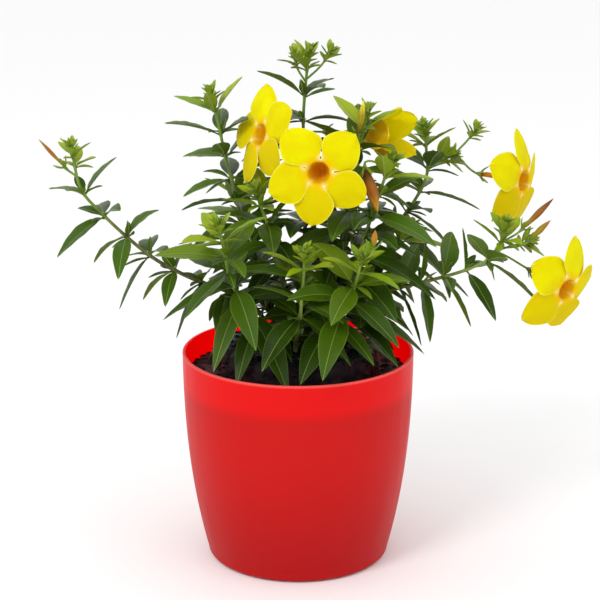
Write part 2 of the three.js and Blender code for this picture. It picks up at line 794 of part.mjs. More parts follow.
function budSamples(bud) {
  return Array.from({ length: 16 }, (_, i) => budRing(bud, i / 15, 1, 8)).flat();
}

// The pot's outer radius: straight near the foot, upright near the rim
function potRadius(z) {
  const t = Math.max(0, (z - FOOT_FILLET) / (POT_HEIGHT - FOOT_FILLET));
  const flare = (RIM_RADIUS - BASE_RADIUS) * (1 - (1 - t) ** POT_FLARE);
  return BASE_RADIUS + flare - POT_WAIST * t * (1 - t);
}

function lathe(profile, sides) {
  const geometry = new THREE.LatheGeometry(profile.map(([r, z]) => new THREE.Vector2(r, z)), sides);
  return geometry.rotateX(Math.PI / 2);
}

function rod(x, y, low, high, radius, sides) {
  const geometry = new THREE.CylinderGeometry(radius, radius, high - low, sides);
  return solidOf(geometry.rotateX(Math.PI / 2).translate(x, y, (low + high) / 2));
}

function makePot() {
  const foot = [0, 45, 90].map((degrees) => [
    BASE_RADIUS - FOOT_FILLET * (1 - Math.sin(rad(degrees))),
    FOOT_FILLET * (1 - Math.cos(rad(degrees))),
  ]);
  const outside = POT_LEVELS.map((z) => [potRadius(z), z]);
  const lip = [
    [RIM_RADIUS, POT_HEIGHT - LIP_ROUND],
    [RIM_RADIUS - LIP_ROUND, POT_HEIGHT],
    [RIM_RADIUS - WALL + LIP_ROUND, POT_HEIGHT],
    [RIM_RADIUS - WALL, POT_HEIGHT - LIP_ROUND],
  ];
  const well = WELL_LEVELS.map((z) => [potRadius(z) - WALL, z]).reverse();
  const floor = [[BASE_RADIUS - FOOT_INSET, FLOOR], [0, FLOOR]];
  let pot = solidOf(lathe([[0, 0], ...foot, ...outside, ...lip, ...well, ...floor], POT_SIDES));
  for (let i = 0; i < DRAIN_HOLES; i++) {
    const angle = rad((360 * i) / DRAIN_HOLES + DRAIN_TURN);
    const [x, y] = [DRAIN_CIRCLE * Math.cos(angle), DRAIN_CIRCLE * Math.sin(angle)];
    pot = pot.subtract(rod(x, y, -1, FLOOR + 1, DRAIN_RADIUS, 10));
  }
  return meshOf("pot", pot, potRed);
}

function makeSoil(roots) {
  const bottom = [[0, FLOOR + SOIL_GAP], [BASE_RADIUS - FOOT_INSET - 1, FLOOR + SOIL_GAP]];
  const side = WELL_LEVELS.map((z) => [potRadius(z) - WALL - SOIL_GAP, z]);
  const loose = [[78, SOIL_EDGE + 1.5], [MOUND_RADIUS + 4, SOIL_EDGE]];
  const mound = [
    [MOUND_RADIUS + 1, SOIL_EDGE + 12], [MOUND_RADIUS - 3, MOUND_TOP - 2], [46, MOUND_TOP],
    [24, MOUND_TOP], [0, MOUND_TOP],
  ];
  const geometry = lathe([...bottom, ...side, ...loose, ...mound], SOIL_SIDES);
  const position = geometry.getAttribute("position");
  for (let i = 0; i < position.count; i++) {
    const [x, y, z] = [position.getX(i), position.getY(i), position.getZ(i)];
    if (z < SOIL_EDGE - 0.5 || Math.hypot(x, y) < 1) continue;
    const lump = Math.sin(x * 0.31 + 1) * Math.sin(y * 0.27) + 0.6 * Math.sin(x * 0.13 - y * 0.19);
    position.setZ(i, z + LUMP_HEIGHT * lump);
  }
  let soil = solidOf(geometry);
  for (const [x, y] of roots) {
    soil = soil.subtract(rod(x, y, MOUND_TOP - ROOT_DEPTH, MOUND_TOP + 9, HOLE_RADIUS, 6));
  }
  return meshOf("soil", soil, soilBlack);
}

const plant = new THREE.Group();
plant.add(makePot());
plant.add(makeSoil(STEMS.map((stem) => stem.shoots[0].root)));
for (const bloom of BLOOMS) {
  take(bloomSamples(bloom), bloom.name);
  plant.add(makeBloom(bloom));
}
for (const bud of BUDS) {
  take(budSamples(bud), bud.name);
  plant.add(makeBud(bud));
}
for (const stem of STEMS) stem.shoots.forEach((shoot, index) => planShoot(shoot, stem, index));
for (const stem of STEMS) {
  stem.shoots.filter((shoot) => !shoot.stalk).forEach(growWhorls);
  plant.add(meshOf(stem.name, joined(stem.shoots.map(shootSolid)), leafGreen));
}

export default plant;
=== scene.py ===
"""A potted allamanda: a dwarf golden-trumpet shrub, in flower, in a plain red plastic pot.

Lengths are in millimetres until a mesh is written, and the frame is the part's own: +Z up, -Y the
front, the origin at the centre of the pot's underside.
"""
import math

import bpy
import numpy as np
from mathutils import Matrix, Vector, noise


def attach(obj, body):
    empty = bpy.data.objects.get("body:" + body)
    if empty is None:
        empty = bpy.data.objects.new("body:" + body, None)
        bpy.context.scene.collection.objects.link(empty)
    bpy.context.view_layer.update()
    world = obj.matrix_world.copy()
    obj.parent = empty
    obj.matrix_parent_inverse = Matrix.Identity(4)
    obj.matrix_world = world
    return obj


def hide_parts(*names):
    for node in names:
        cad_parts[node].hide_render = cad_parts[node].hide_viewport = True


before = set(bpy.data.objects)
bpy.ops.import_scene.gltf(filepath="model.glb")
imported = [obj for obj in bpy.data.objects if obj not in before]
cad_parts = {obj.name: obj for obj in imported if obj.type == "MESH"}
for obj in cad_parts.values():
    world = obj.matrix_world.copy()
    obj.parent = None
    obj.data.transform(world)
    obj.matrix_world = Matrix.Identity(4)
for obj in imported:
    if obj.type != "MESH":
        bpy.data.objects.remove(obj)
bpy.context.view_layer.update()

METRES = 0.001

# Pot. Its wall bends by the power of the flare and is drawn in by the waist.
RIM_RADIUS = 90
POT_HEIGHT = 166
BASE_RADIUS = 71.5
POT_FLARE = 2.38
POT_WAIST = 1.8
WALL = 2.4
FLOOR = 3
FOOT_FILLET = 5
FOOT_INSET = 8
LIP_ROUND = 0.8
DRAIN_HOLES = 5
DRAIN_RADIUS = 4
DRAIN_CIRCLE = 40
DRAIN_TURN = 18
POT_SIDES = 160
DRAIN_SIDES = 24
FILLET_STEPS = 10
LIP_STEPS = 5
WALL_ROWS = 44
WELL_ROWS = 30

# Heights at which the pot's red changes: painted shade fades out up to the first, a painted band of light
# comes in between the next two, and a painted highlight runs along the lip between the last two
FOOT_SHADE_TOP = 115
LIGHT_BAND_FOOT = 134
LIGHT_BAND_TOP = 146
LIP_HIGHLIGHT_FOOT = 163.5
LIP_HIGHLIGHT_TOP = 165.2

# Soil. The root ball is the mound, and the stems rise straight out of it as far as their collars.
SOIL_EDGE = 149
MOUND_RADIUS = 60
MOUND_TOP = 173
SOIL_GAP = 0.35
ROOT_DEPTH = 40
COLLAR = 4
SEAT_GAP = 0.3
SOIL_SIDES = 220
SOIL_DEPTH = 30
LUMP_LEAN = 18
CRUMBS = 900
CRUMB_SIDES = 6
CRUMB_SEED = 77

# Stems, as the solids have them: their nodes swell, and their stalks end in a cup
STEM_RADIUS = 2.1
TIP_RADIUS = 1
SIDE_RADIUS = 0.85
NODE_SWELL = 1.15
NODE_HALF = 1.3
STEM_SIDES = 6
CUP_SIDES = 5
CUP_DEPTH = 3
STALK_BEND = 0.4
STALK_STEPS = 16
BLOOM_CUP = 2.3
BUD_CUP = 1.6
ROUTE_SPANS = 8
HEADING_STEP = 1.5

# Bark, and the knobs and sepals on it
BARK_SIDES = 12
BARK_STEP = 2.5
BARK_IN_SOIL = 8
NODE_BULGE = 0.28
NODE_REACH = 1.9
KNOBS = 5
KNOB_SIDES = 8
KNOB_RADIUS = 1.25
SEPAL_LENGTH = 8
SEPAL_HALF_WIDTH = 0.8

# Leaves, as the solids have them. The clearances and samples decide where one is free to grow.
LEAF_SLIMNESS = 0.174
LEAF_FOLD = 0.3
PETIOLE_HALF_WIDTH = 0.45
LEAF_CLEARANCE = 2.4
OWN_CLEARANCE = 1.2
SAMPLE_STEP = 1.9
SAMPLE_START = 6
OVER_SOIL = 4
OVER_MOUND = 3
OVER_RIM = 2
INSIDE_RIM = 5
FULL_AGE = 85
FIRST_WHORL = 17
YOUNG_LIFT = 48
YOUNG_DROOP = 0.06
HANG = 32
DROOP = 0.26

# Blades, as they are drawn and painted, and the small leaves that the solids leave out
FILLERS = 4
FILLER_SEED = 900
BLADE_THICKNESS = 0.4
SMALL_LEAF = 22
LEAF_ROWS = 17
SMALL_ROWS = 9
MARGIN_WAVE = 11
WAVE_HEIGHT = 0.03
FULL_WAVE = 30
MARGIN_SHIFT = 1.7
GROOVE_DEPTH = 0.16
GROOVE_HALF_WIDTH = 0.35
RIB_HEIGHT = 0.35
RIB_HALF_WIDTH = 0.5
# Heights between which the painted shade of the leaves low in the plant fades out
SHADE_DEEPEST_BELOW = 160
SHADE_GONE_ABOVE = 280
VEIN_SPACING = 2.7
VEIN_SLANT = 0.75

# Blooms and buds
TUBE_LENGTH = 37
MOUTH_RADIUS = 9
TUBE_WALL = 0.8
PETALS = 5
PETAL_LENGTH = 31
PETAL_HALF_WIDTH = 16
PETAL_THICKNESS = 0.55
PETAL_POINT = 1.4
PETAL_COLUMNS = 14
PETAL_ROWS = 22
PETAL_SEED = 5
BUD_SIDES = 24
BUD_WINDING = 520

FRONT = np.array([0.0, -1.0, 0.0])
UP = np.array([0.0, 0.0, 1.0])

# The blooms: the centre of the mouth, the way it faces, where its petals lie, and how far it opens.
# `wide` is the share of their length that the petals of a half-open one spread out sideways.
BLOOMS = [
    dict(name="bloom_front", mouth=(15, -52, 318), faces=(-0.1, -1, 0.04), turn=46,
         petals=(43, 123, 198, 258, 326), open=0.9, curl=2),
    dict(name="bloom_left", mouth=(-29, -4, 337), faces=(-0.84, -0.48, 0.27), turn=33, open=0.6, curl=6),
    dict(name="bloom_rear", mouth=(54, 30, 330), faces=(0.83, -0.55, 0.06), turn=19, open=1.5, curl=1.5,
         wide=0.45),
    dict(name="bloom_right", mouth=(177, 45, 290), faces=(0.82, -0.55, -0.02), turn=6, open=0.3, curl=13),
    dict(name="bloom_low", mouth=(203, -31, 223), faces=(0.64, -0.74, -0.2), turn=69, open=0.5, curl=13),
]

# The coloured buds: heel, point and radius, and how much slimmer a thin one is than its solid
BUDS = [
    dict(name="bud_left_tip", heel=(-175, -26, 318), point=(-192, -31, 339), radius=2.6, slim=0.62),
    dict(name="bud_right", heel=(170, -24, 270), point=(191, -27, 293), radius=3.2, slim=0.85),
    dict(name="bud_right_green", heel=(174, -30, 262), point=(188, -38, 279), radius=2.6),
    dict(name="bud_upper", heel=(46, -5, 338), point=(49, -8, 364), radius=3),
    dict(name="bud_spent", heel=(50, -37, 317), point=(59, -42, 286), radius=5.2),
    dict(name="bud_front", heel=(55, -74, 268), point=(56, -76, 281), radius=2.6),
]

# The stems, as their solids have them. A shoot with `root` stands in the soil there. One with `start`
# grows out of shoot number `of`, that many millimetres back from its tip. Each runs through its `via`
# points. Leaves stand in threes, `spacing` apart, from `first` down to `bare` above the soil, turned by
# `turn` degrees. Full ones have that `length`, lean out by `hang` degrees more than young ones and sag by
# `droop` of their length. `stalk` names the bloom or bud that a bare shoot carries.
STEMS = {
    "stem_left_trailing": [
        dict(root=(-24, 2), spacing=23, length=39, turn=20, bare=30, droop=0.22, seed=395,
             via=[(-30, 0, 196), (-50, -4, 212), (-80, -8, 225), (-106, -12, 240), (-126, -16, 257),
                  (-148, -20, 280), (-163, -22, 300), (-169, -24, 334)]),
        dict(of=0, start=30, stalk="bud_left_tip"),
    ],
    "stem_left_upright": [
        dict(root=(-16, 16), spacing=18, length=48, turn=90, bare=16, droop=0.1, seed=37,
             via=[(-28, 22, 205), (-41, 26, 250), (-49, 30, 284), (-56, 32, 311), (-61, 34, 335),
                  (-68, 36, 364)]),
    ],
    "stem_centre_upright": [
        dict(root=(2, 19), spacing=20, length=48, turn=60, bare=30, droop=0.32, seed=467,
             via=[(2, 24, 200), (5, 30, 246), (6, 36, 290), (4, 42, 335), (6, 45, 368), (9, 46, 395)]),
        dict(of=0, start=27, turn=70, seed=586, via=[(-1, 44, 380), (-3, 43, 392)]),
        dict(of=0, start=25, turn=70, seed=526, via=[(18, 47, 381), (26, 48, 394)]),
        dict(of=0, start=96, stalk="bloom_front"),
        dict(of=0, start=84, stalk="bloom_left"),
        dict(of=0, start=72, stalk="bloom_rear"),
    ],
    "stem_left_front": [
        dict(root=(-18, -13), spacing=13.5, length=54, turn=50, bare=2, hang=58, seed=4,
             via=[(-26, -22, 190), (-42, -38, 214), (-51, -50, 240), (-55, -56, 262), (-59, -60, 284)]),
    ],
    "stem_right_front": [
        dict(root=(12, -18), spacing=13.5, length=56, turn=20, bare=2, hang=58, seed=556,
             via=[(22, -31, 190), (35, -48, 213), (43, -60, 238), (48, -68, 262)]),
        dict(of=0, start=12, stalk="bud_front"),
    ],
    "stem_right_upper": [
        dict(root=(12, 4), spacing=16, length=53, turn=80, bare=26, droop=0.16, seed=160,
             via=[(22, 6, 200), (34, 4, 244), (42, 0, 292), (46, -2, 324), (53, 0, 357)]),
        dict(of=0, start=34, stalk="bud_upper"),
    ],
    "stem_right_mid": [
        dict(root=(24, -4), spacing=17, length=53, turn=50, bare=18, droop=0.22, seed=493,
             via=[(32, -8, 198), (47, -18, 250), (58, -26, 288), (66, -31, 314), (71, -33, 326)]),
        dict(of=0, start=14, stalk="bud_spent"),
    ],
    "stem_right_rear": [
        dict(root=(20, 14), spacing=19, length=48, turn=30, bare=20, droop=0.22, seed=392,
             via=[(32, 26, 200), (57, 42, 232), (85, 52, 262), (101, 57, 290), (101, 60, 312),
                  (99, 60, 333)]),
        dict(of=0, start=36, first=14, spacing=12, length=36, turn=0, bare=5, seed=180,
             via=[(112, 58, 304), (124, 57, 309)]),
        dict(of=1, start=2, turn=50, seed=548, via=[(133, 57, 320), (141, 57, 331)]),
        dict(of=1, start=4, stalk="bloom_right"),
    ],
    "stem_right_trailing": [
        dict(root=(30, 6), spacing=18, length=46, turn=10, bare=18, droop=0.1, seed=122,
             via=[(42, 2, 196), (68, -4, 214), (97, -12, 224), (130, -18, 236), (150, -22, 250),
                  (156, -22, 275)]),
        dict(of=0, start=24, turn=60, seed=393, via=[(166, -14, 254), (178, -12, 256)]),
        dict(of=0, start=28, stalk="bud_right"),
        dict(of=0, start=31, stalk="bud_right_green"),
        dict(of=0, start=36, stalk="bloom_low"),
    ],
    "stem_back_left": [
        dict(root=(-8, 32), spacing=17, length=55, turn=20, bare=8, seed=254,
             via=[(-18, 42, 192), (-32, 58, 222), (-42, 72, 256), (-46, 80, 284)]),
    ],
    "stem_back_right": [
        dict(root=(14, 33), spacing=17, length=55, turn=10, bare=8, seed=51,
             via=[(22, 44, 192), (34, 62, 224), (44, 78, 256), (48, 88, 284)]),
    ],
    "stem_centre_front": [
        dict(root=(-2, -28), spacing=13, length=52, turn=10, bare=2, hang=58, seed=328,
             via=[(-1, -40, 188), (2, -50, 212), (4, -54, 238), (5, -56, 262)]),
    ],
    "stem_left_inner": [
        dict(root=(-6, 2), spacing=17, length=50, turn=20, bare=8, seed=160,
             via=[(-10, 4, 206), (-18, -2, 252), (-28, -10, 282), (-33, -14, 300)]),
    ],
    "stem_right_inner": [
        dict(root=(34, 20), spacing=15, length=52, turn=70, bare=2, seed=464,
             via=[(44, 24, 194), (60, 28, 218), (78, 32, 242), (88, 34, 260)]),
    ],
}

# Ways that a leaf gives way to what is there: degrees round the stem, degrees of lift, share of length
GIVES = [
    (0, 0, 1), (14, 0, 1), (-14, 0, 1), (0, 16, 1), (0, -16, 1), (24, 12, 1), (-24, 12, 1), (26, -14, 0.9),
    (-26, -14, 0.9), (0, 30, 0.85), (0, -30, 0.85), (0, 0, 0.7), (20, 18, 0.7), (-20, 18, 0.7),
]


def dice(seed):
    """A small repeatable source of numbers from 0 to 1."""
    state = seed * 2654435761 % 2**32

    def roll():
        nonlocal state
        state = (state * 1664525 + 1013904223) % 2**32
        return state / 2**32

    return roll


def point(*numbers):
    return np.array(numbers, float)


def unit(vectors):
    return vectors / np.linalg.norm(vectors, axis=-1, keepdims=True)


def dot(a, b):
    return np.sum(a * b, axis=-1, keepdims=True)


def circle(count):
    return [360 * i / count for i in range(count)]


def fade(value, low, high):
    """0 below low, 1 above high, and smooth between."""
    share = np.clip((value - low) / (high - low), 0, 1)
    return share * share * (3 - 2 * share)


def spline(points, spans):
    """A smooth line through points, with `spans` steps between one and the next."""
    points = np.array(points, float)
    padded = np.vstack([2 * points[0] - points[1], points, 2 * points[-1] - points[-2]])
    line = []
    for before, start, end, after in zip(padded, padded[1:], padded[2:], padded[3:]):
        leave, arrive = (end - before) / 2, (after - start) / 2
        for t in np.arange(spans) / spans:
            bend = (3 * (end - start) - 2 * leave - arrive) * t * t
            line.append(start + leave * t + bend + (2 * (start - end) + leave + arrive) * t**3)
    return np.array(line + [points[-1]])


class Route:
    """The line that a stem follows, measured in millimetres back from its tip."""

    def __init__(self, line, root=None):
        self.line = np.array(line, float)[::-1]
        self.straight = 0
        if root is not None:
            self.straight = float(np.linalg.norm(root - self.line[-1]))
            self.line = np.vstack([self.line, root])
        steps = np.linalg.norm(np.diff(self.line, axis=0), axis=1)
        self.reach = np.concatenate([[0], np.cumsum(steps)])
        self.length = float(self.reach[-1])

    def at(self, distance):
        distance = np.clip(distance, 0, self.length)
        return np.stack([np.interp(distance, self.reach, column) for column in self.line.T], axis=-1)

    def heading(self, distance):
        return unit(self.at(distance - HEADING_STEP) - self.at(distance + HEADING_STEP))

    def across(self, distance):
        """Two unit vectors square to the stem: to the front, and to the right of an upright stem."""
        along = self.heading(distance)
        front = unit(FRONT - along * dot(along, FRONT))
        return front, np.cross(along, front)

    def outward(self, distance, degrees):
        front, beside = self.across(distance)
        return front * math.cos(math.radians(degrees)) + beside * math.sin(math.radians(degrees))

    def ring(self, distance, radius, sides, turn=0):
        front, beside = self.across(distance)
        angles = np.radians(np.array(circle(sides)) + turn)[:, None]
        return self.at(distance) + radius * (front * np.cos(angles) + beside * np.sin(angles))


def leaf_frames(leaf, t):
    """Where a leaf's spine is at shares t of its length, and its side and upward directions there."""
    t = np.asarray(t, float)[:, None]
    straight = leaf["base"] + leaf["direction"] * leaf["length"] * t
    middle = straight - UP * leaf["droop"] * leaf["length"] * t * t
    tangent = unit(leaf["direction"] - UP * 2 * leaf["droop"] * t)
    side = unit(leaf["side"] - tangent * dot(tangent, leaf["side"]))
    return middle, side, np.cross(side, tangent)


def leaf_half_width(leaf, t):
    """Lance-shaped: widest before the middle, with a drawn-out tip."""
    blade = np.clip((t - 0.08) / 0.92, 0, 1)
    swell = np.clip(np.sin(np.pi * blade**0.85), 0, 1) ** 0.85
    return PETIOLE_HALF_WIDTH + leaf["width"] * swell * (1 - 0.25 * blade * blade)


def leaf_samples(leaf):
    rows = math.ceil(leaf["length"] / SAMPLE_STEP)
    t, s = [], []
    for i in range(1, rows + 1):
        if i / rows * leaf["length"] < min(SAMPLE_START, 0.7 * leaf["length"]):
            continue
        across = math.ceil(leaf_half_width(leaf, i / rows) / SAMPLE_STEP)
        t += [i / rows] * (2 * across + 1)
        s += [j / across for j in range(-across, across + 1)]
    middle, side, normal = leaf_frames(leaf, t)
    across = (np.array(s) * leaf_half_width(leaf, np.array(t)))[:, None]
    return middle + side * across + normal * LEAF_FOLD * np.abs(across)


class Room:
    """The space that is taken, as points, so that leaves lie clear of each other."""

    MOST = 200000

    def __init__(self):
        self.points = np.zeros((self.MOST, 3))
        self.owners = np.zeros(self.MOST, int)
        self.names = {}
        self.count = 0

    def number(self, owner):
        return self.names.setdefault(owner, len(self.names))

    def take(self, points, owner):
        end = self.count + len(points)
        self.points[self.count:end] = points
        self.owners[self.count:end] = self.number(owner)
        self.count = end

    def is_free(self, points, owner):
        if in_pot(points).any():
            return False
        taken = self.points[:self.count]
        low, high = points.min(0) - LEAF_CLEARANCE, points.max(0) + LEAF_CLEARANCE
        near = ((taken > low) & (taken < high)).all(1)
        own = self.owners[:self.count][near] == self.number(owner)
        clearance = np.where(own, OWN_CLEARANCE, LEAF_CLEARANCE)
        squared = ((points[:, None] - taken[near][None]) ** 2).sum(-1)
        return not (squared < clearance**2).any()


def in_pot(points):
    """In the soil, in the pot's wall, or outside it below its rim."""
    out = np.hypot(points[:, 0], points[:, 1])
    z = points[:, 2]
    above = (out < MOUND_RADIUS) & (z < MOUND_TOP + OVER_MOUND)
    soil = np.where(out < MOUND_RADIUS + OVER_SOIL, MOUND_TOP, SOIL_EDGE) + OVER_SOIL
    below = (out > RIM_RADIUS - INSIDE_RIM) | (z < soil)
    return np.where(z > POT_HEIGHT + OVER_RIM, above, below)


room = Room()


def turned(vector, axis, angle):
    """The vector, turned about a unit axis."""
    swing = vector * math.cos(angle) + np.cross(axis, vector) * math.sin(angle)
    return swing + axis * (axis @ vector) * (1 - math.cos(angle))


def aimed(route, distance, degrees, lift):
    """The way that a leaf points, `lift` degrees out from its stem, and the way that its side lies."""
    angle = math.radians(lift)
    along = route.heading(distance)
    direction = route.outward(distance, degrees) * math.sin(angle) + along * math.cos(angle)
    return direction, unit(np.cross(direction, UP * 0.8 + along * 0.5))


def grow_leaf(shoot, whorl, degrees, size, lift, roll):
    """Adds a leaf to a shoot, in the first way in which it lies free, or none where there is no room."""
    route, distance = shoot["route"], whorl["distance"]
    slimness = LEAF_SLIMNESS * (0.85 + 0.3 * roll())
    twist = math.radians(40 * (roll() - 0.5))
    sag = whorl["droop"] + 0.14 * roll() * min(1, distance / 20)
    base = route.at(distance) + route.outward(distance, degrees) * shoot["radius"](distance) * 0.8
    for turn, rise, share in GIVES:
        direction, side = aimed(route, distance, degrees + turn, lift - rise)
        side = turned(side, direction, twist)
        length = size * share
        leaf = dict(base=base, direction=direction, side=side, length=length, width=slimness * length,
                    droop=sag, distance=distance)
        samples = leaf_samples(leaf)
        if room.is_free(samples, shoot["owner"]):
            room.take(samples, "leaf")
            shoot["leaves"].append(leaf)
            return


def whorls_of(shoot):
    """Where the whorls stand on a shoot: two small ones in the tuft at its tip, then larger ones down it."""
    whorls = [
        dict(distance=3.4, size=11, lift=38, droop=0.06),
        dict(distance=8.6, size=18, lift=52, droop=0.12),
    ]
    if "spacing" not in shoot:
        return whorls
    end = shoot["route"].length - shoot["route"].straight - shoot["bare"]
    distance = shoot.get("first", FIRST_WHORL)
    while distance < end:
        age = min(1, distance / FULL_AGE)
        size = shoot["length"] * min(1, 0.55 + distance / FULL_AGE)
        whorls.append(dict(distance=distance, size=size, lift=YOUNG_LIFT + shoot.get("hang", HANG) * age,
                           droop=YOUNG_DROOP + shoot.get("droop", DROOP) * age))
        distance += shoot["spacing"]
    return whorls


def grow_whorls(shoot):
    """The leaves of a whorl stand on every second side of the stem, and those of the next between them."""
    roll = dice(shoot["seed"])
    for w, whorl in enumerate(whorls_of(shoot)):
        for j in range(w % 2, STEM_SIDES, 2):
            degrees = shoot["turn"] + (j + 0.5) * 360 / STEM_SIDES + 20 * (roll() - 0.5)
            size = whorl["size"] * (0.84 + 0.32 * roll())
            lift = whorl["lift"] + 18 * (roll() - 0.5)
            grow_leaf(shoot, whorl, degrees, size, lift, roll)
        shoot["nodes"].append(whorl["distance"])


def grow_sepals(shoot):
    """A flower's calyx: five narrow sepals round the end of its stalk."""
    route, distance = shoot["route"], CUP_DEPTH / 2
    for j in range(CUP_SIDES):
        outward = route.outward(distance, (j + 0.5) * 360 / CUP_SIDES)
        base = route.at(distance) + outward * shoot["cup"]
        direction = unit(outward * 0.62 + route.heading(distance) * 0.78)
        sepal = dict(base=base, direction=direction, side=unit(np.cross(direction, outward)),
                     length=SEPAL_LENGTH, width=SEPAL_HALF_WIDTH, droop=0, distance=distance)
        room.take(leaf_samples(sepal), shoot["owner"])
        shoot["leaves"].append(sepal)


class Bloom:
    """A bloom's own frame. Its axis runs from its heel out of its mouth."""

    def __init__(self, bloom):
        self.axis = unit(point(*bloom["faces"]))
        self.base = point(*bloom["mouth"]) - self.axis * TUBE_LENGTH
        self.across = unit(np.cross(UP, self.axis))
        self.upward = np.cross(self.axis, self.across)
        self.open, self.curl, self.wide = bloom["open"], bloom["curl"], bloom.get("wide", 1)
        self.ahead = math.sqrt(1 - self.wide**2)
        self.angles = bloom.get("petals") or [bloom["turn"] + angle for angle in circle(PETALS)]

    def radial(self, degrees):
        """The way out from the axis at an angle round it."""
        angle = np.radians(degrees)
        return self.across * np.cos(angle) + self.upward * np.sin(angle)

    def place(self, out, degrees, height, aside=0.0):
        """The point at a distance from the axis, an angle round it, a height and a distance aside."""
        radial = self.radial(np.asarray(degrees, float)[..., None])
        beside = np.cross(self.axis, radial)
        lengths = [np.asarray(value, float)[..., None] for value in (height, out, aside)]
        return self.base + self.axis * lengths[0] + radial * lengths[1] + beside * lengths[2]

    def spread(self, t):
        """How far in front of the mouth a petal is, at shares t of its length."""
        flat = self.open * (1.6 * t - t * t) * 6 - self.curl * t**1.7
        return flat + PETAL_LENGTH * t * self.ahead

    def petal(self, degrees, t, s):
        """A petal: it sets off forwards, spreads flat and curls back, tilted like a propeller's blade."""
        across = s * petal_half_width(t) * (0.55 + 0.45 * self.wide) + 3 * t * t
        tilt = 0.16 * across * np.minimum(1, 2 * t)
        out = MOUTH_RADIUS - 1.2 + PETAL_LENGTH * t * self.wide - 0.008 * across * across * t
        height = TUBE_LENGTH + self.spread(t) + tilt * self.wide - 0.008 * across * across
        return self.place(out + 1.6 * tilt * self.ahead, degrees, height, across)

    def ways(self, degrees):
        """The way that a petal's face looks and the way that it points, which lean in a half-open bloom."""
        radial = self.radial(degrees)
        return self.axis * self.wide - radial * self.ahead, radial * self.wide + self.axis * self.ahead


def petal_half_width(t):
    """Half the width of a petal: a narrow claw, broad and round beyond."""
    widening = np.sin(np.pi / 2 * np.minimum(1, t / 0.6)) ** 1.5
    return PETAL_HALF_WIDTH * (0.28 + 0.72 * widening) * np.sqrt(np.maximum(0, 1 - t**5))


# The trumpet, as radius and height: a thin tube that opens into a bell
TRUMPET = [(1.6, 0), (1.9, 15), (4.6, 21), (7.2, 29), (MOUTH_RADIUS, TUBE_LENGTH)]


def bloom_samples(bloom):
    made = Bloom(bloom)
    samples = []
    for degrees in made.angles:
        for i in range(1, 17):
            t = i / 16
            across = max(1, math.ceil(petal_half_width(t) / SAMPLE_STEP))
            s = np.arange(-across, across + 1) / across
            samples.append(made.petal(np.full(len(s), float(degrees)), np.full(len(s), t), s))
    radii, heights = zip(*TRUMPET)
    for height in range(0, TUBE_LENGTH + 1, 2):
        radius = float(np.interp(height, heights, radii))
        count = max(6, math.ceil(2 * math.pi * radius / SAMPLE_STEP))
        angles = np.array(circle(count))
        samples.append(made.place(np.full(count, radius), angles, np.full(count, float(height))))
    return np.vstack(samples)


def bud_route(bud):
    heel, tip = point(*bud["heel"]), point(*bud["point"])
    return Route([heel, (heel + tip) / 2, tip])


def bud_samples(bud):
    route = bud_route(bud)
    rings = [route.ring(route.length * (1 - i / 15), bud["radius"], 8, 4 * i) for i in range(16)]
    return np.vstack(rings)


def stalk_route(start, name):
    """A stalk's line and the width of its cup: out of its stem, upwards, and into what it carries."""
    bloom = next((one for one in BLOOMS if one["name"] == name), None)
    if bloom:
        base, axis, cup = Bloom(bloom).base, Bloom(bloom).axis, BLOOM_CUP
    else:
        bud = next(one for one in BUDS if one["name"] == name)
        base, cup = point(*bud["heel"]), BUD_CUP
        axis = unit(point(*bud["point"]) - base)
    end = base - axis * SEAT_GAP
    neck = end - axis * CUP_DEPTH
    reach = np.linalg.norm(start - neck) * STALK_BEND
    corners = [start, start + UP * reach, neck - axis * reach, neck]
    t = (np.arange(STALK_STEPS + 1) / STALK_STEPS)[:, None]
    weights = [(1 - t) ** 3, 3 * t * (1 - t) ** 2, 3 * t * t * (1 - t), t**3]
    curve = sum(weight * corner for weight, corner in zip(weights, corners))
    return Route(np.vstack([curve, end])), cup


def plan_shoot(shoot, shoots, owner):
    """Gives a shoot its route and its thickness, and takes up the room that it needs."""
    shoot.update(owner=owner, leaves=[], nodes=[])
    if "root" in shoot:
        x, y = shoot["root"]
        foot = point(x, y, MOUND_TOP - ROOT_DEPTH + SEAT_GAP)
        line = spline([(x, y, MOUND_TOP + COLLAR), *shoot["via"]], ROUTE_SPANS)
        shoot["route"] = Route(line, foot)
        slope = (STEM_RADIUS - TIP_RADIUS) / shoot["route"].length
        shoot["plain"] = lambda distance: TIP_RADIUS + slope * distance
    else:
        start = shoots[shoot["of"]]["route"].at(shoot["start"])
        shoot["plain"] = lambda distance: SIDE_RADIUS
        if "stalk" in shoot:
            shoot["route"], shoot["cup"] = stalk_route(start, shoot["stalk"])
        else:
            shoot["route"] = Route(spline([start, *shoot["via"]], ROUTE_SPANS))

    def radius(distance):
        if "stalk" in shoot:
            return shoot["cup"] if distance < CUP_DEPTH - 0.1 else SIDE_RADIUS
        swollen = any(abs(node - distance) < NODE_HALF + 0.1 for node in shoot["nodes"])
        return shoot["plain"](distance) * (NODE_SWELL if swollen else 1)

    shoot["radius"] = radius
    distance = 0.0
    while distance <= shoot["route"].length:
        room.take(shoot["route"].ring(distance, radius(distance), STEM_SIDES), owner)
        distance += SAMPLE_STEP
    if "stalk" in shoot:
        grow_sepals(shoot)


def grow_fillers(shoot):
    """Small leaves in the axils of the large ones, which the solid leaves out."""
    roll = dice(shoot["seed"] + FILLER_SEED)
    for distance in list(shoot["nodes"][2:]):
        for _ in range(FILLERS):
            whorl = dict(distance=distance + 3 * (roll() - 0.5), droop=0.05 + 0.2 * roll())
            degrees = 360 * roll()
            size = 12 + 14 * roll()
            grow_leaf(shoot, whorl, degrees, size, 40 + 40 * roll(), roll)


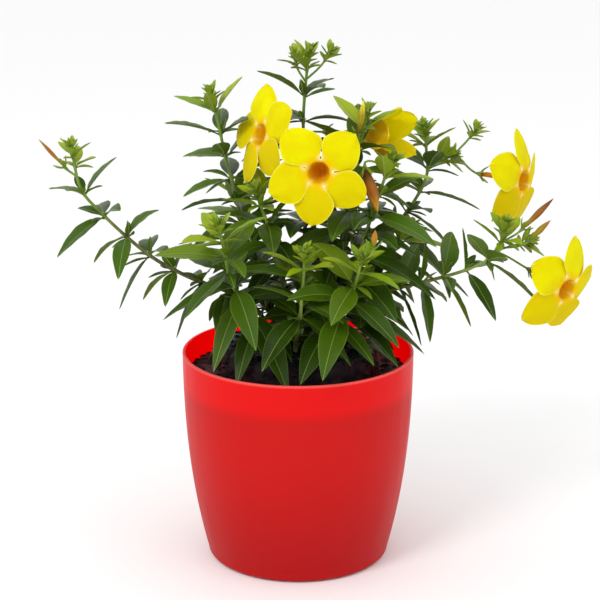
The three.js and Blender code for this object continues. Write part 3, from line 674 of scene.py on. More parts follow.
def grow_plant():
    for bloom in BLOOMS:
        room.take(bloom_samples(bloom), bloom["name"])
    for bud in BUDS:
        room.take(bud_samples(bud), bud["name"])
    for name, shoots in STEMS.items():
        for index, shoot in enumerate(shoots):
            plan_shoot(shoot, shoots, f"{name} {index}")
    leafy = [shoot for shoots in STEMS.values() for shoot in shoots if "stalk" not in shoot]
    for shoot in leafy:
        grow_whorls(shoot)
    for shoot in leafy:
        grow_fillers(shoot)


def closed(grid):
    """A grid of numbers whose last column is its first one again."""
    return np.hstack([grid, grid[:, :1]])


class Skin:
    """A mesh in the making: points, faces, and for each point two vectors that its finish reads."""

    def __init__(self):
        self.points, self.places, self.shades, self.edges = [], [], [], []
        self.faces, self.slots = [], []
        self.count = 0

    def add(self, points, place=(0, 0, 0), shade=(0, 0, 0), is_edge=False):
        """Adds a grid of points and gives the grid of their numbers."""
        points = np.asarray(points, float)
        shape = points.shape[:-1]
        self.points.append(points.reshape(-1, 3))
        self.places.append(np.broadcast_to(place, points.shape).reshape(-1, 3))
        self.shades.append(np.broadcast_to(shade, points.shape).reshape(-1, 3))
        self.edges.append(np.broadcast_to(is_edge, shape).reshape(-1))
        numbers = np.arange(self.count, self.count + int(np.prod(shape))).reshape(shape)
        self.count += numbers.size
        return numbers

    def face(self, corners, slot=0):
        corners = list(dict.fromkeys(int(corner) for corner in corners))
        if len(corners) > 2:
            self.faces.append(corners)
            self.slots.append(slot)

    def sheet(self, grid, slot=0, flip=False):
        """The faces between the rows and columns of a grid of numbers."""
        for low, high in zip(grid, grid[1:]):
            for j in range(len(low) - 1):
                corners = [low[j], low[j + 1], high[j + 1], high[j]]
                self.face(corners[::-1] if flip else corners, slot)

    def tube(self, rings, place=(0, 0, 0), shade=(0, 0, 0), slot=0):
        """A body through rings of points, from its foot up, with a flat face at both ends."""
        grid = self.add(rings, place, shade)
        self.sheet(closed(grid), slot)
        self.face(grid[0][::-1], slot)
        self.face(grid[-1], slot)

    def object(self, name, finishes):
        mesh = bpy.data.meshes.new(name)
        mesh.from_pydata(np.vstack(self.points) * METRES, [], self.faces)
        for finish in finishes:
            mesh.materials.append(finish)
        mesh.polygons.foreach_set("material_index", self.slots)
        mesh.polygons.foreach_set("use_smooth", [True] * len(self.faces))
        for label, rows in (("place", self.places), ("shade", self.shades)):
            attribute = mesh.attributes.new(label, "FLOAT_VECTOR", "POINT")
            attribute.data.foreach_set("vector", np.vstack(rows).astype(np.float32).ravel())
        is_edge = np.concatenate(self.edges)
        if is_edge.any():
            ends = np.zeros(len(mesh.edges) * 2, int)
            mesh.edges.foreach_get("vertices", ends)
            sharp = mesh.attributes.new("sharp_edge", "BOOLEAN", "EDGE")
            sharp.data.foreach_set("value", is_edge[ends].reshape(-1, 2).all(1))
        mesh.update()
        made = bpy.data.objects.new(name, mesh)
        bpy.context.scene.collection.objects.link(made)
        return made


def piece_for(node, made):
    """Makes an object the one that stands for a node."""
    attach(made, "root")
    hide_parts(node)


# Skin slots of a leafy stem
UPPER, UNDER, BARK = 0, 1, 2

# Where the columns of a blade lie, as shares of its half width
LEAF_COLUMNS = np.array([-1, -0.8, -0.5, -0.22, -0.07, 0, 0.07, 0.22, 0.5, 0.8, 1])
SMALL_COLUMNS = np.array([-1, -0.6, -0.12, 0, 0.12, 0.6, 1])


def leaf_surfaces(leaf, t, columns, phase):
    """Both faces of a blade, folded, waved at the margin, with a groove above and a rib below, and what
    their finish reads: the way along, the way aside and the margin."""
    middle, side, normal = leaf_frames(leaf, t)
    half = leaf_half_width(leaf, t)
    half[-1] = 0
    across = half[:, None] * columns
    rise = LEAF_FOLD * np.abs(across) * (1 - 0.25 * columns**2)
    waves = leaf["length"] / MARGIN_WAVE
    ripple = np.sin(2 * math.pi * waves * t[:, None] + phase + np.sign(columns) * MARGIN_SHIFT)
    rise += WAVE_HEIGHT * half[:, None] * columns**2 * ripple * min(1, leaf["length"] / FULL_WAVE)
    rise -= GROOVE_DEPTH * np.exp(-((across / GROOVE_HALF_WIDTH) ** 2)) * fade(half, 0.8, 2.5)[:, None]
    upper = middle[:, None] + side[:, None] * across[..., None] + normal[:, None] * rise[..., None]
    body = BLADE_THICKNESS * (1 + 1.1 * (1 - fade(t, 0, 0.16)))[:, None] * (1 - columns**4)
    rib = RIB_HEIGHT * np.exp(-((across / RIB_HALF_WIDTH) ** 2)) * (1 - t)[:, None]
    lower = upper - normal[:, None] * (body + rib)[..., None]
    lengths = np.broadcast_to((t * leaf["length"])[:, None], across.shape)
    return upper, lower, np.stack([lengths, across, np.broadcast_to(np.abs(columns), across.shape)], -1)


def draw_leaf(skin, leaf, youth, roll):
    """A thin closed blade, whose faces meet at the margin and the tip."""
    is_small = leaf["length"] < SMALL_LEAF
    columns = SMALL_COLUMNS if is_small else LEAF_COLUMNS
    t = np.linspace(0, 1, SMALL_ROWS if is_small else LEAF_ROWS) ** 0.9
    t[-1] = 1
    upper, lower, place = leaf_surfaces(leaf, t, columns, 2 * math.pi * roll())
    shade = (roll(), youth, roll())
    is_edge = np.broadcast_to(np.abs(columns) == 1, place.shape[:2]).copy()
    is_edge[-1] = True
    top = skin.add(upper, place, shade, is_edge)
    top[-1] = top[-1, 0]
    bottom = skin.add(lower, place, shade)
    bottom[:, 0], bottom[:, -1], bottom[-1] = top[:, 0], top[:, -1], top[-1, 0]
    skin.sheet(top, UPPER)
    skin.sheet(bottom, UNDER, flip=True)
    skin.face([*top[0][::-1], *bottom[0][1:-1]], UNDER)


def draw_stem(skin, shoot):
    """The bark of a shoot, from just below the soil to its tip, thicker at its nodes."""
    route = shoot["route"]
    buried = max(0, route.straight - COLLAR - BARK_IN_SOIL)
    count = max(4, round((route.length - buried) / BARK_STEP))
    # The ring at -1 lies inside the one at 0, and softens the edge of the end
    distances = np.append(np.linspace(route.length - buried, 0, count), -1)
    radii = []
    for distance in distances:
        radius = shoot["plain"](distance)
        for node in shoot["nodes"]:
            radius *= 1 + NODE_BULGE * math.exp(-(((distance - node) / NODE_REACH) ** 2))
        if "stalk" in shoot:
            radius += (shoot["cup"] - SIDE_RADIUS) * (1 - fade(distance, 1, CUP_DEPTH + 2.5))
        radii.append(float(radius) * (0.55 if distance < 0 else 1))
    youth = 1 - fade(distances, 10, 120 if "root" in shoot else 60)
    rings = [route.ring(distance, radius, BARK_SIDES) for distance, radius in zip(distances, radii)]
    skin.tube(rings, shade=np.outer(youth, (0, 1, 0))[:, None], slot=BARK)


# The rings of the youngest leaves: millimetres back from the tip, length, degrees out from the stem
TUFT = [(0.4, 5, 16), (1.4, 7, 38), (5.6, 8, 54), (10.5, 9, 62)]


def draw_tuft(skin, shoot, roll):
    """The youngest leaves of a tip, too small for the solid, in rings round its point."""
    route = shoot["route"]
    for ring, (distance, size, lift) in enumerate(TUFT):
        for j in range(3):
            degrees = shoot["turn"] + 120 * j + 47 * ring + 50 * (roll() - 0.5)
            direction, side = aimed(route, distance, degrees, lift + 24 * (roll() - 0.5))
            length = size * (0.8 + 0.4 * roll())
            base = route.at(distance) + route.outward(distance, degrees) * 0.5
            leaf = dict(base=base, direction=direction, side=side, length=length,
                        width=0.21 * length, droop=0.16 * roll())
            draw_leaf(skin, leaf, 1, roll)


def draw_knobs(skin, shoot, roll):
    """The tiny green flower buds that stand in a tip."""
    stem = shoot["route"]
    shares = np.linspace(0.04, 0.98, 7)
    radii = KNOB_RADIUS * np.sin(np.pi * shares**0.8) + 0.1
    for angle in circle(KNOBS):
        distance = 1 + 3.5 * roll()
        outward = stem.outward(distance, shoot["turn"] + angle + 60 * roll())
        heel = stem.at(distance) + outward * 1.2
        direction = unit(outward * 0.6 + stem.heading(distance))
        length = 3.5 + 2.5 * roll()
        route = Route([heel, heel + direction * length / 2, heel + direction * length])
        rings = [route.ring(length * (1 - share), radius, KNOB_SIDES) for share, radius in zip(shares, radii)]
        skin.tube(rings, shade=(roll(), 1.3, 0), slot=BARK)


def make_stem(name, shoots, finishes):
    skin = Skin()
    roll = dice(sum(map(ord, name)))
    for shoot in shoots:
        draw_stem(skin, shoot)
        for leaf in shoot["leaves"]:
            youth = 1 - float(fade(leaf["distance"], 6, 52))
            draw_leaf(skin, leaf, 0.7 if "stalk" in shoot else youth, roll)
        if "stalk" not in shoot:
            draw_tuft(skin, shoot, roll)
            draw_knobs(skin, shoot, roll)
    piece_for(name, skin.object(name + "_shoots", finishes))


# Skin slots of a bloom
PETAL_FACE, PETAL_BACK = 0, 1

# Where the rows and columns of a petal lie, as shares of its length and of its half width
PETAL_T, PETAL_S = np.meshgrid(
    (1 - np.cos(np.pi * np.arange(1, PETAL_ROWS + 1) / PETAL_ROWS)) / 2,
    np.linspace(-1, 1, PETAL_COLUMNS + 1),
    indexing="ij",
)


def fullness(t):
    """How broad a petal is drawn, against its solid: broader at its claw, which meets the next one,
    and narrower towards its tip."""
    return 1 + 0.36 * fade(t, 0.02, 0.1) * (1 - fade(t, 0.1, 0.62)) - 0.16 * fade(t, 0.5, 1)


def petal_sectors(angles):
    """The angles of a bell's rim that belong to each petal, half way to its neighbours."""
    high = (angles + np.append(angles[1:], angles[0] + 360)) / 2
    low = np.roll(high, 1)
    low[0] -= 360
    return low[:, None] + (high - low)[:, None] * (PETAL_S[0] + 1) / 2


def draw_bell(skin, made, sectors):
    """The tube and bell, inside and out. Gives its inner and outer rim and the depth of the bell."""
    angles = sectors[:, :-1].ravel()
    # How near each point of the bell's rim is to a notch between petals, for the painted highlights there
    notch_highlight = np.tile(np.abs(PETAL_S[0, :-1]) ** 6, PETALS)
    profile = spline(TRUMPET, 5)
    bell = [row for row in profile if row[1] >= TRUMPET[1][1] + 1]
    throat = bell[0][1]

    def ring(radius, height):
        reach = height - throat
        points = made.place(np.full(angles.shape, radius), angles, np.full(angles.shape, height))
        place = np.stack([np.full(angles.shape, reach), angles, notch_highlight], -1)
        shade = np.stack([notch_highlight * fade(reach, 14, 22), np.zeros(angles.shape), np.zeros(angles.shape)], -1)
        return skin.add(points, place, shade)

    outer = np.array([ring(r, h) for r, h in profile])
    inner = np.array([ring(r - TUBE_WALL * 0.8, h) for r, h in bell])
    skin.sheet(closed(outer), PETAL_BACK)
    skin.sheet(closed(inner), PETAL_FACE, flip=True)
    skin.face(outer[0][::-1], PETAL_BACK)
    skin.face(inner[0], PETAL_FACE)
    return inner[-1], outer[-1], TUBE_LENGTH - throat


def petal_surfaces(made, degrees, sector, roll):
    """The face and the back of a petal, which grows smoothly out of its sector of the bell."""
    t, s = PETAL_T, PETAL_S
    flare = made.place(MOUTH_RADIUS + PETAL_LENGTH * t * made.wide,
                       np.broadcast_to(sector, t.shape), TUBE_LENGTH + made.spread(t))
    petal = made.petal(np.full(t.shape, degrees), t, s * fullness(t))
    share = fade(t, 0, 0.15)[..., None]
    face = flare * (1 - share) + petal * share
    # A soft crease along the middle, a slight ripple of the rim, and a short point
    crease = -0.5 * np.exp(-((s / 0.16) ** 2)) * t * (1 - t)
    ripple = np.sin(s * 5.5 + 2 * math.pi * roll()) * 0.5 + np.sin(s * 9 + t * 5) * 0.22
    front, outward = made.ways(degrees)
    face = face + front * (crease + ripple * t**2)[..., None]
    face = face + outward * (PETAL_POINT * t**8 * (1 - np.abs(s)))[..., None]
    return face, face - front * (PETAL_THICKNESS * (1 - s**4))[..., None]


def petal_marks(degrees, depth, roll):
    """What a petal's finish reads, with the masks of its painted highlights at the rim and the notches. The
    lower petals, and some more than others, are the deeper yellow.
    """
    t, s = PETAL_T, PETAL_S
    # Where the rim's painted highlight falls: along the sides and round the tip
    rim_highlight_share = np.maximum(np.abs(s), fade(t, 0.82, 1))
    place = np.stack([depth + PETAL_LENGTH * t, s * petal_half_width(t), rim_highlight_share], -1)
    # The painted highlight at the notches between the petals' claws
    glow = np.abs(s) ** 4 * fade(t, 0, 0.04) * (1 - fade(t, 0.07, 0.16))
    own = 0.4 - 0.45 * math.sin(math.radians(degrees)) + 0.3 * roll()
    return place, np.stack([glow, np.ones(t.shape), np.full(t.shape, own)], -1)


def make_bloom(bloom, finishes, roll):
    """One closed skin: the tube and bell, inside and out, and the petals that its rim runs out into."""
    made = Bloom(bloom)
    skin = Skin()
    angles = np.array(sorted(angle % 360 for angle in made.angles), float)
    sectors = petal_sectors(angles)
    inner, outer, depth = draw_bell(skin, made, sectors)
    for k, degrees in enumerate(angles):
        face, back = petal_surfaces(made, degrees, sectors[k], roll)
        place, shade = petal_marks(degrees, depth, roll)
        top = skin.add(face, place, shade, (np.abs(PETAL_S) == 1) | (PETAL_T == 1))
        top[-1] = top[-1, PETAL_COLUMNS // 2]
        bottom = skin.add(back, place, shade)
        bottom[:, 0], bottom[:, -1], bottom[-1] = top[:, 0], top[:, -1], top[-1]
        rim = np.arange(k * PETAL_COLUMNS, (k + 1) * PETAL_COLUMNS + 1) % len(inner)
        skin.sheet(np.vstack([inner[rim], top]), PETAL_FACE, flip=True)
        skin.sheet(np.vstack([outer[rim], bottom]), PETAL_BACK)
        skin.face([top[0, 0], inner[rim[0]], outer[rim[0]]], PETAL_FACE)
        skin.face([inner[rim[-1]], top[0, -1], outer[rim[-1]]], PETAL_FACE)
    piece_for(bloom["name"], skin.object(bloom["name"] + "_petals", finishes))


# A furled bud, as share of its length and of its radius
SPINDLE = [(0, 0.05), (0.03, 0.45), (0.25, 0.75), (0.5, 1), (0.75, 0.7), (0.93, 0.25), (1, 0.04)]


def make_bud(bud, finish):
    """A spindle of furled petals, whose edges wind round it."""
    skin = Skin()
    route = bud_route(bud)
    # Between the flats and the corners of the solid, which has six sides
    girth = bud["radius"] * bud.get("slim", 1) * np.cos(np.pi / 6) ** 0.5
    rings, places = [], []
    for share, size in spline(SPINDLE, 5):
        folds = np.radians(np.array(circle(BUD_SIDES)) * PETALS + BUD_WINDING * share) / 2
        ridge = 1 - 0.14 * (1 - np.abs(np.sin(folds))) * fade(share, 0.2, 0.5)
        rings.append(route.ring(route.length * (1 - share), (girth * size * ridge)[:, None], BUD_SIDES))
        places.append(np.stack([np.full(BUD_SIDES, share), ridge, np.zeros(BUD_SIDES)], -1))
    skin.tube(rings, np.array(places))
    piece_for(bud["name"], skin.object(bud["name"] + "_petals", [finish]))


def pot_radius(z):
    """The pot's outer radius: straight near the foot, upright near the rim."""
    t = np.maximum(0, (z - FOOT_FILLET) / (POT_HEIGHT - FOOT_FILLET))
    flare = (RIM_RADIUS - BASE_RADIUS) * (1 - (1 - t) ** POT_FLARE)
    return BASE_RADIUS + flare - POT_WAIST * t * (1 - t)


def lathe(skin, profile, sides):
    """A turned body through a profile of radius and height, whose ends lie on the axis."""
    angles = np.radians(circle(sides))
    levels = profile[1:-1]
    rings = [np.stack([r * np.cos(angles), r * np.sin(angles), np.full(sides, z)], -1) for r, z in levels]
    grid = closed(skin.add(rings))
    skin.sheet(grid)
    for (_, z), row in ((profile[0], grid[0][::-1]), (profile[-1], grid[-1])):
        hub = skin.add([(0, 0, z)])[0]
        for a, b in zip(row, row[1:]):
            skin.face([a, b, hub])


def arc(centre, radius, start, end, count):
    """Points of an arc in a profile, from one angle to another."""
    angles = np.radians(np.linspace(start, end, count))
    return [(centre[0] + radius * math.cos(a), centre[1] + radius * math.sin(a)) for a in angles]


def mark_well(mesh):
    """Marks the points of the pot's inside, for its finish, once the holes are cut: the cut wipes out
    every mark that was there before."""
    places = np.zeros(len(mesh.vertices) * 3)
    mesh.vertices.foreach_get("co", places)
    x, y, z = places.reshape(-1, 3).T / METRES
    shade = np.zeros((len(x), 3), np.float32)
    shade[:, 0] = (np.hypot(x, y) < pot_radius(z) - 0.6 * WALL) & (z > FLOOR - 0.1)
    mesh.attributes["shade"].data.foreach_set("vector", shade.ravel())


def make_pot(finish):
    """The wall and floor, turned round the axis, with the drain holes cut through the floor."""
    foot = arc((BASE_RADIUS - FOOT_FILLET, FOOT_FILLET), FOOT_FILLET, -90, 0, FILLET_STEPS)
    rows = np.linspace(FOOT_FILLET + 3, POT_HEIGHT - 3, WALL_ROWS)
    outside = [(float(pot_radius(z)), z) for z in rows]
    lip = POT_HEIGHT - LIP_ROUND
    outer_lip = arc((RIM_RADIUS - LIP_ROUND, lip), LIP_ROUND, 0, 90, LIP_STEPS)
    inner_lip = arc((RIM_RADIUS - WALL + LIP_ROUND, lip), LIP_ROUND, 90, 180, LIP_STEPS)
    rows = np.linspace(POT_HEIGHT - 3, FLOOR + 6, WELL_ROWS)
    well = [(float(pot_radius(z)) - WALL, z) for z in rows]
    floor = [(BASE_RADIUS - FOOT_INSET, FLOOR), (DRAIN_CIRCLE, FLOOR), (0, FLOOR)]
    skin = Skin()
    shell = [(0, 0), (DRAIN_CIRCLE, 0), *foot, *outside, *outer_lip, *inner_lip]
    lathe(skin, [*shell, *well, *floor], POT_SIDES)
    pot = skin.object("pot_shell", [finish])
    drill_floor(pot, finish)
    piece_for("pot", pot)


def drill_floor(pot, finish):
    """Cuts the drain holes through the pot's floor."""
    drills = Skin()
    around = np.radians(circle(DRAIN_SIDES))
    ring = np.stack([np.cos(around), np.sin(around), np.zeros(DRAIN_SIDES)], -1) * DRAIN_RADIUS
    for degrees in circle(DRAIN_HOLES):
        angle = math.radians(degrees + DRAIN_TURN)
        centre = point(DRAIN_CIRCLE * math.cos(angle), DRAIN_CIRCLE * math.sin(angle), 0)
        drills.tube([ring + centre - UP, ring + centre + UP * (FLOOR + 1)])
    drill = drills.object("drills", [finish])
    cut = pot.modifiers.new("drain_holes", "BOOLEAN")
    cut.operation = "DIFFERENCE"
    cut.object = drill
    cut.solver = "EXACT"
    bpy.context.view_layer.update()
    holed = bpy.data.meshes.new_from_object(pot.evaluated_get(bpy.context.evaluated_depsgraph_get()))
    mark_well(holed)
    pot.modifiers.clear()
    pot.data = holed
    bpy.data.objects.remove(drill)


# The lumps of the soil, broad ones and finer ones on them: height, size, and how far the pattern is moved
LUMPS = [(1.5, 15, 0, 0), (1.1, 6, 40, 0), (0.5, 2.6, 0, 90)]


def lump_height(x, y, z):
    return sum(height * noise.noise(Vector((x + right, y + back, z)) / size)
               for height, size, right, back in LUMPS)


def make_soil(finish):
    """The loose mix along the wall, the root ball that stands in it, and crumbs on both."""
    well = float(pot_radius(SOIL_EDGE)) - WALL - SOIL_GAP
    # Radius and height, from the wall to the middle
    skirt = [(well - 0.6, SOIL_EDGE - 2), (well - 4, SOIL_EDGE + 1), (78, SOIL_EDGE + 1.5),
             (MOUND_RADIUS + 4, SOIL_EDGE + 1), (MOUND_RADIUS + 1.5, SOIL_EDGE + 8)]
    mound = [(MOUND_RADIUS, SOIL_EDGE + 16), (MOUND_RADIUS - 3, MOUND_TOP - 2), (46, MOUND_TOP),
             (24, MOUND_TOP), (2, MOUND_TOP)]
    top = spline(skirt + mound, 9)
    skin = Skin()
    profile = [(0, SOIL_EDGE - SOIL_DEPTH), (well - 2.5, SOIL_EDGE - SOIL_DEPTH), *top, (0, MOUND_TOP)]
    lathe(skin, profile, SOIL_SIDES)
    rings = skin.points[0].reshape(-1, SOIL_SIDES, 3)
    # The lumps move the skin's own points, except near the pot's wall
    for place in rings[2:].reshape(-1, 3):
        outward = unit(point(place[0], place[1], LUMP_LEAN))
        place += outward * lump_height(*place) * fade(RIM_RADIUS - math.hypot(place[0], place[1]), 4, 10)
    roll = dice(CRUMB_SEED)
    for _ in range(CRUMBS):
        row = rings[3 + int(roll() * (len(rings) - 5))]
        centre = row[int(roll() * len(row))]
        size = 0.7 + 1.9 * roll() ** 2
        draw_crumb(skin, centre, size, roll)
    piece_for("soil", skin.object("soil_surface", [finish]))


def draw_crumb(skin, centre, size, roll):
    """One crumb of bark or peat: a small lump of three uneven rings."""
    stretch = point(0.7 + roll(), 0.7 + roll(), 0.5 + 0.6 * roll())
    turn = 2 * math.pi * roll()
    rings = []
    for height, out, shift in ((-0.6, 0.75, 0), (0, 1, 0.5), (0.6, 0.7, 0)):
        ring = []
        for k in range(CRUMB_SIDES):
            angle = turn + 2 * math.pi * (k + shift) / CRUMB_SIDES
            reach = out * (0.75 + 0.5 * roll())
            corner = point(reach * math.cos(angle), reach * math.sin(angle), height)
            ring.append(centre + size * stretch * corner)
        rings.append(ring)
    skin.tube(rings, shade=(roll(), 0, 0))


class Finish:
    """A material, with short ways to make the nodes of its colour, roughness and relief."""

    def __init__(self, name, **values):
        self.material = bpy.data.materials.new(name)
        self.material.use_nodes = True
        self.tree = self.material.node_tree
        self.shader = self.tree.nodes["Principled BSDF"]
        for label, value in values.items():
            self.shader.inputs[label.replace("_", " ")].default_value = value

    def feed(self, socket, value):
        if isinstance(value, bpy.types.NodeSocket):
            self.tree.links.new(value, socket)
        else:
            socket.default_value = value

    def node(self, kind, inputs, **settings):
        made = self.tree.nodes.new("ShaderNode" + kind)
        for label, value in settings.items():
            setattr(made, label, value)
        for key, value in inputs.items():
            self.feed(made.inputs[key], value)
        return made

    def maths(self, operation, a, b=0.0):
        return self.node("Math", {0: a, 1: b}, operation=operation).outputs[0]

    def times(self, a, b):
        return self.maths("MULTIPLY", a, b)

    def fade(self, value, low, high, start=0.0, end=1.0):
        inputs = {0: value, 1: low, 2: high, 3: start, 4: end}
        return self.node("MapRange", inputs, interpolation_type="SMOOTHSTEP").outputs[0]

    def blend(self, share, a, b):
        return self.node("Mix", {0: share, 6: a, 7: b}, data_type="RGBA").outputs[2]

    def touch(self, base, mask, share, other):
        """The base colour with up to that share of another one, where the mask is 1."""
        return self.blend(self.times(mask, share), base, other)

    def parts(self, name):
        """The three numbers that each point carries under a name."""
        vector = self.node("Attribute", {}, attribute_name=name).outputs["Vector"]
        return self.node("SeparateXYZ", {0: vector}).outputs

    def rise(self, low, high, start=0.0, end=1.0):
        """A fade from one height above the pot's foot to another, in millimetres."""
        where = self.node("TexCoord", {}).outputs["Object"]
        height = self.node("SeparateXYZ", {0: where}).outputs[2]
        return self.fade(height, low * METRES, high * METRES, start, end)

    def grain(self, scale, detail=2.0, stretch=None):
        where = self.node("TexCoord", {}).outputs["Object"]
        if stretch:
            where = self.node("Mapping", {"Vector": where, "Scale": stretch}).outputs[0]
        inputs = {"Vector": where, "Scale": scale, "Detail": detail}
        return self.node("TexNoise", inputs).outputs["Fac"]

    def relief(self, height, distance, strength):
        inputs = {"Height": height, "Distance": distance, "Strength": strength}
        self.feed(self.shader.inputs["Normal"], self.node("Bump", inputs).outputs[0])

    def paint(self, tint, roughness=None):
        self.feed(self.shader.inputs["Base Color"], tint)
        if roughness is not None:
            self.feed(self.shader.inputs["Roughness"], roughness)


def colour(red, green, blue):
    """A colour, given as it looks on a screen, from 0 to 255."""
    def light(value):
        value /= 255
        return value / 12.92 if value <= 0.04045 else ((value + 0.055) / 1.055) ** 2.4
    return (light(red), light(green), light(blue), 1.0)


def pot_finish():
    """Moulded red plastic: satin, with faint flow marks and scuffs. Painted shade darkens it towards the
    foot, and a painted band of light and a painted highlight along the lip brighten it towards the rim.
    Daylight comes through the thin wall, which makes the inside glow; the inside's brighter red is painted
    light too."""
    made = Finish("pot_plastic", Specular_IOR_Level=0.1, Subsurface_Scale=0.06,
                  Subsurface_Radius=(1, 0.12, 0.1))
    inside = made.parts("shade")[0]
    made.feed(made.shader.inputs["Subsurface Weight"], made.fade(inside, 0, 1, 0.2, 1.0))
    # Painted shade: the red darkens towards the foot, which faces down, away from the light
    red = made.blend(made.rise(0, FOOT_SHADE_TOP), colour(178, 17, 18), colour(200, 20, 18))
    # A painted band of light near the rim
    red = made.blend(made.rise(LIGHT_BAND_FOOT, LIGHT_BAND_TOP), red, colour(226, 14, 14))
    # A painted highlight along the lip
    red = made.blend(made.rise(LIP_HIGHLIGHT_FOOT, LIP_HIGHLIGHT_TOP, 0, 0.7), red, colour(240, 96, 88))
    # The inside's brighter red is painted light, for the glow through the wall, on top of what the subsurface
    # lets through
    red = made.blend(inside, red, colour(255, 4, 14))
    cloud = made.fade(made.grain(9, 3), 0.35, 0.7)
    red = made.touch(red, cloud, 0.16, colour(176, 20, 24))
    specks = made.fade(made.grain(420), 0.66, 0.74)
    red = made.touch(red, specks, 0.12, colour(150, 12, 14))
    flow = made.grain(60, 3, stretch=(1, 1, 0.12))
    made.paint(red, made.fade(flow, 0.3, 0.75, 0.38, 0.5))
    made.relief(made.maths("ADD", made.grain(900), made.times(flow, 0.6)), 0.00012, 0.35)
    return made.material


def soil_finish():
    """Damp peat: blue-black, with paler crumbs and a wet glint here and there."""
    made = Finish("soil", Specular_IOR_Level=0.25)
    lumps = made.grain(380, 4)
    own = made.parts("shade")[0]
    dark = made.blend(made.fade(lumps, 0.35, 0.7), colour(0, 3, 9), colour(4, 14, 24))
    mixed = made.blend(made.fade(made.grain(130), 0.55, 0.72), dark, colour(16, 20, 26))
    made.paint(made.blend(made.fade(own, 0.7, 1.0, 0, 0.4), mixed, colour(36, 38, 40)),
               made.fade(made.grain(90, 3), 0.4, 0.62, 0.4, 0.9))
    made.relief(made.maths("ADD", lumps, made.grain(1500)), 0.0009, 0.9)
    return made.material


def thin(made, share, tint):
    """Lets light through the surface, for that share of it."""
    glow = made.node("BsdfTranslucent", {"Color": tint})
    mix = made.node("MixShader", {0: share, 1: made.shader.outputs[0], 2: glow.outputs[0]})
    made.feed(made.tree.nodes["Material Output"].inputs["Surface"], mix.outputs[0])


def leaf_pattern(made):
    """What both faces of a leaf share: how near the midrib, the side veins and the margin a point is."""
    along, aside, margin = made.parts("place")
    aside = made.maths("ABSOLUTE", aside)
    midrib = made.fade(aside, 0.12, 0.5, 1.0, 0.0)
    slanted = made.maths("SUBTRACT", along, made.times(aside, VEIN_SLANT))
    wave = made.maths("SINE", made.times(slanted, 2 * math.pi / VEIN_SPACING))
    veins = made.fade(wave, 0.78, 1.0)
    return midrib, veins, made.fade(margin, 0.86, 1.0)


def leaf_upper_finish():
    """The upper face: glossy, mid to dark green, yellow-green when young, with a pale midrib and a painted
    sheen along the margin. Painted shade darkens the leaves low in the plant, the most at the bottom."""
    made = Finish("leaf_upper", Specular_IOR_Level=0.27)
    tint, youth, _ = made.parts("shade")
    midrib, veins, margin = leaf_pattern(made)
    green = made.blend(tint, colour(30, 56, 0), colour(80, 112, 2))
    green = made.blend(made.fade(made.grain(55), 0.35, 0.7, 0, 0.5), green, colour(54, 96, 0))
    # Painted shade on the leaves low in the plant, under the others
    green = made.blend(made.rise(SHADE_DEEPEST_BELOW, SHADE_GONE_ABOVE, 0.45, 0.0), green, colour(20, 38, 0))
    green = made.touch(green, veins, 0.16, colour(106, 134, 30))
    fresh = made.blend(tint, colour(120, 156, 0), colour(160, 178, 10))
    green = made.blend(made.fade(youth, 0.15, 1.0), green, fresh)
    green = made.touch(green, midrib, 0.6, colour(138, 164, 70))
    # A painted sheen along the margin
    green = made.touch(green, margin, 0.35, colour(128, 156, 60))
    made.paint(green, made.fade(made.grain(240), 0.3, 0.75, 0.3, 0.46))
    skin = made.times(made.grain(700), 0.3)
    made.relief(made.maths("SUBTRACT", skin, made.times(veins, 0.6)), 0.00022, 0.6)
    thin(made, 0.12, green)
    return made.material


def leaf_under_finish():
    """The underside: paler, greyer and duller, with a raised midrib."""
    made = Finish("leaf_under", Specular_IOR_Level=0.12)
    tint, youth, _ = made.parts("shade")
    midrib, veins, _ = leaf_pattern(made)
    green = made.blend(tint, colour(66, 96, 10), colour(98, 124, 28))
    green = made.touch(green, veins, 0.35, colour(138, 160, 88))
    green = made.blend(made.fade(youth, 0.2, 1.0), green, colour(146, 168, 44))
    green = made.touch(green, midrib, 0.8, colour(166, 186, 106))
    made.paint(green, made.fade(made.grain(240), 0.3, 0.75, 0.5, 0.65))
    made.relief(made.maths("ADD", made.grain(700), veins), 0.0002, 0.5)
    thin(made, 0.12, green)
    return made.material


def bark_finish():
    """The stems: fresh green near the tips, browner and rougher lower down."""
    made = Finish("stem_bark", Specular_IOR_Level=0.4)
    _, youth, _ = made.parts("shade")
    streaks = made.grain(220, 3, stretch=(1, 1, 0.15))
    old = made.blend(made.fade(streaks, 0.35, 0.7), colour(74, 78, 34), colour(112, 118, 58))
    young = made.blend(made.fade(streaks, 0.3, 0.75), colour(96, 132, 34), colour(134, 158, 60))
    made.paint(made.blend(made.fade(youth, 0.1, 0.95), old, young), made.fade(streaks, 0.3, 0.7, 0.42, 0.62))
    made.relief(made.maths("ADD", streaks, made.grain(1200)), 0.0002, 0.6)
    return made.material


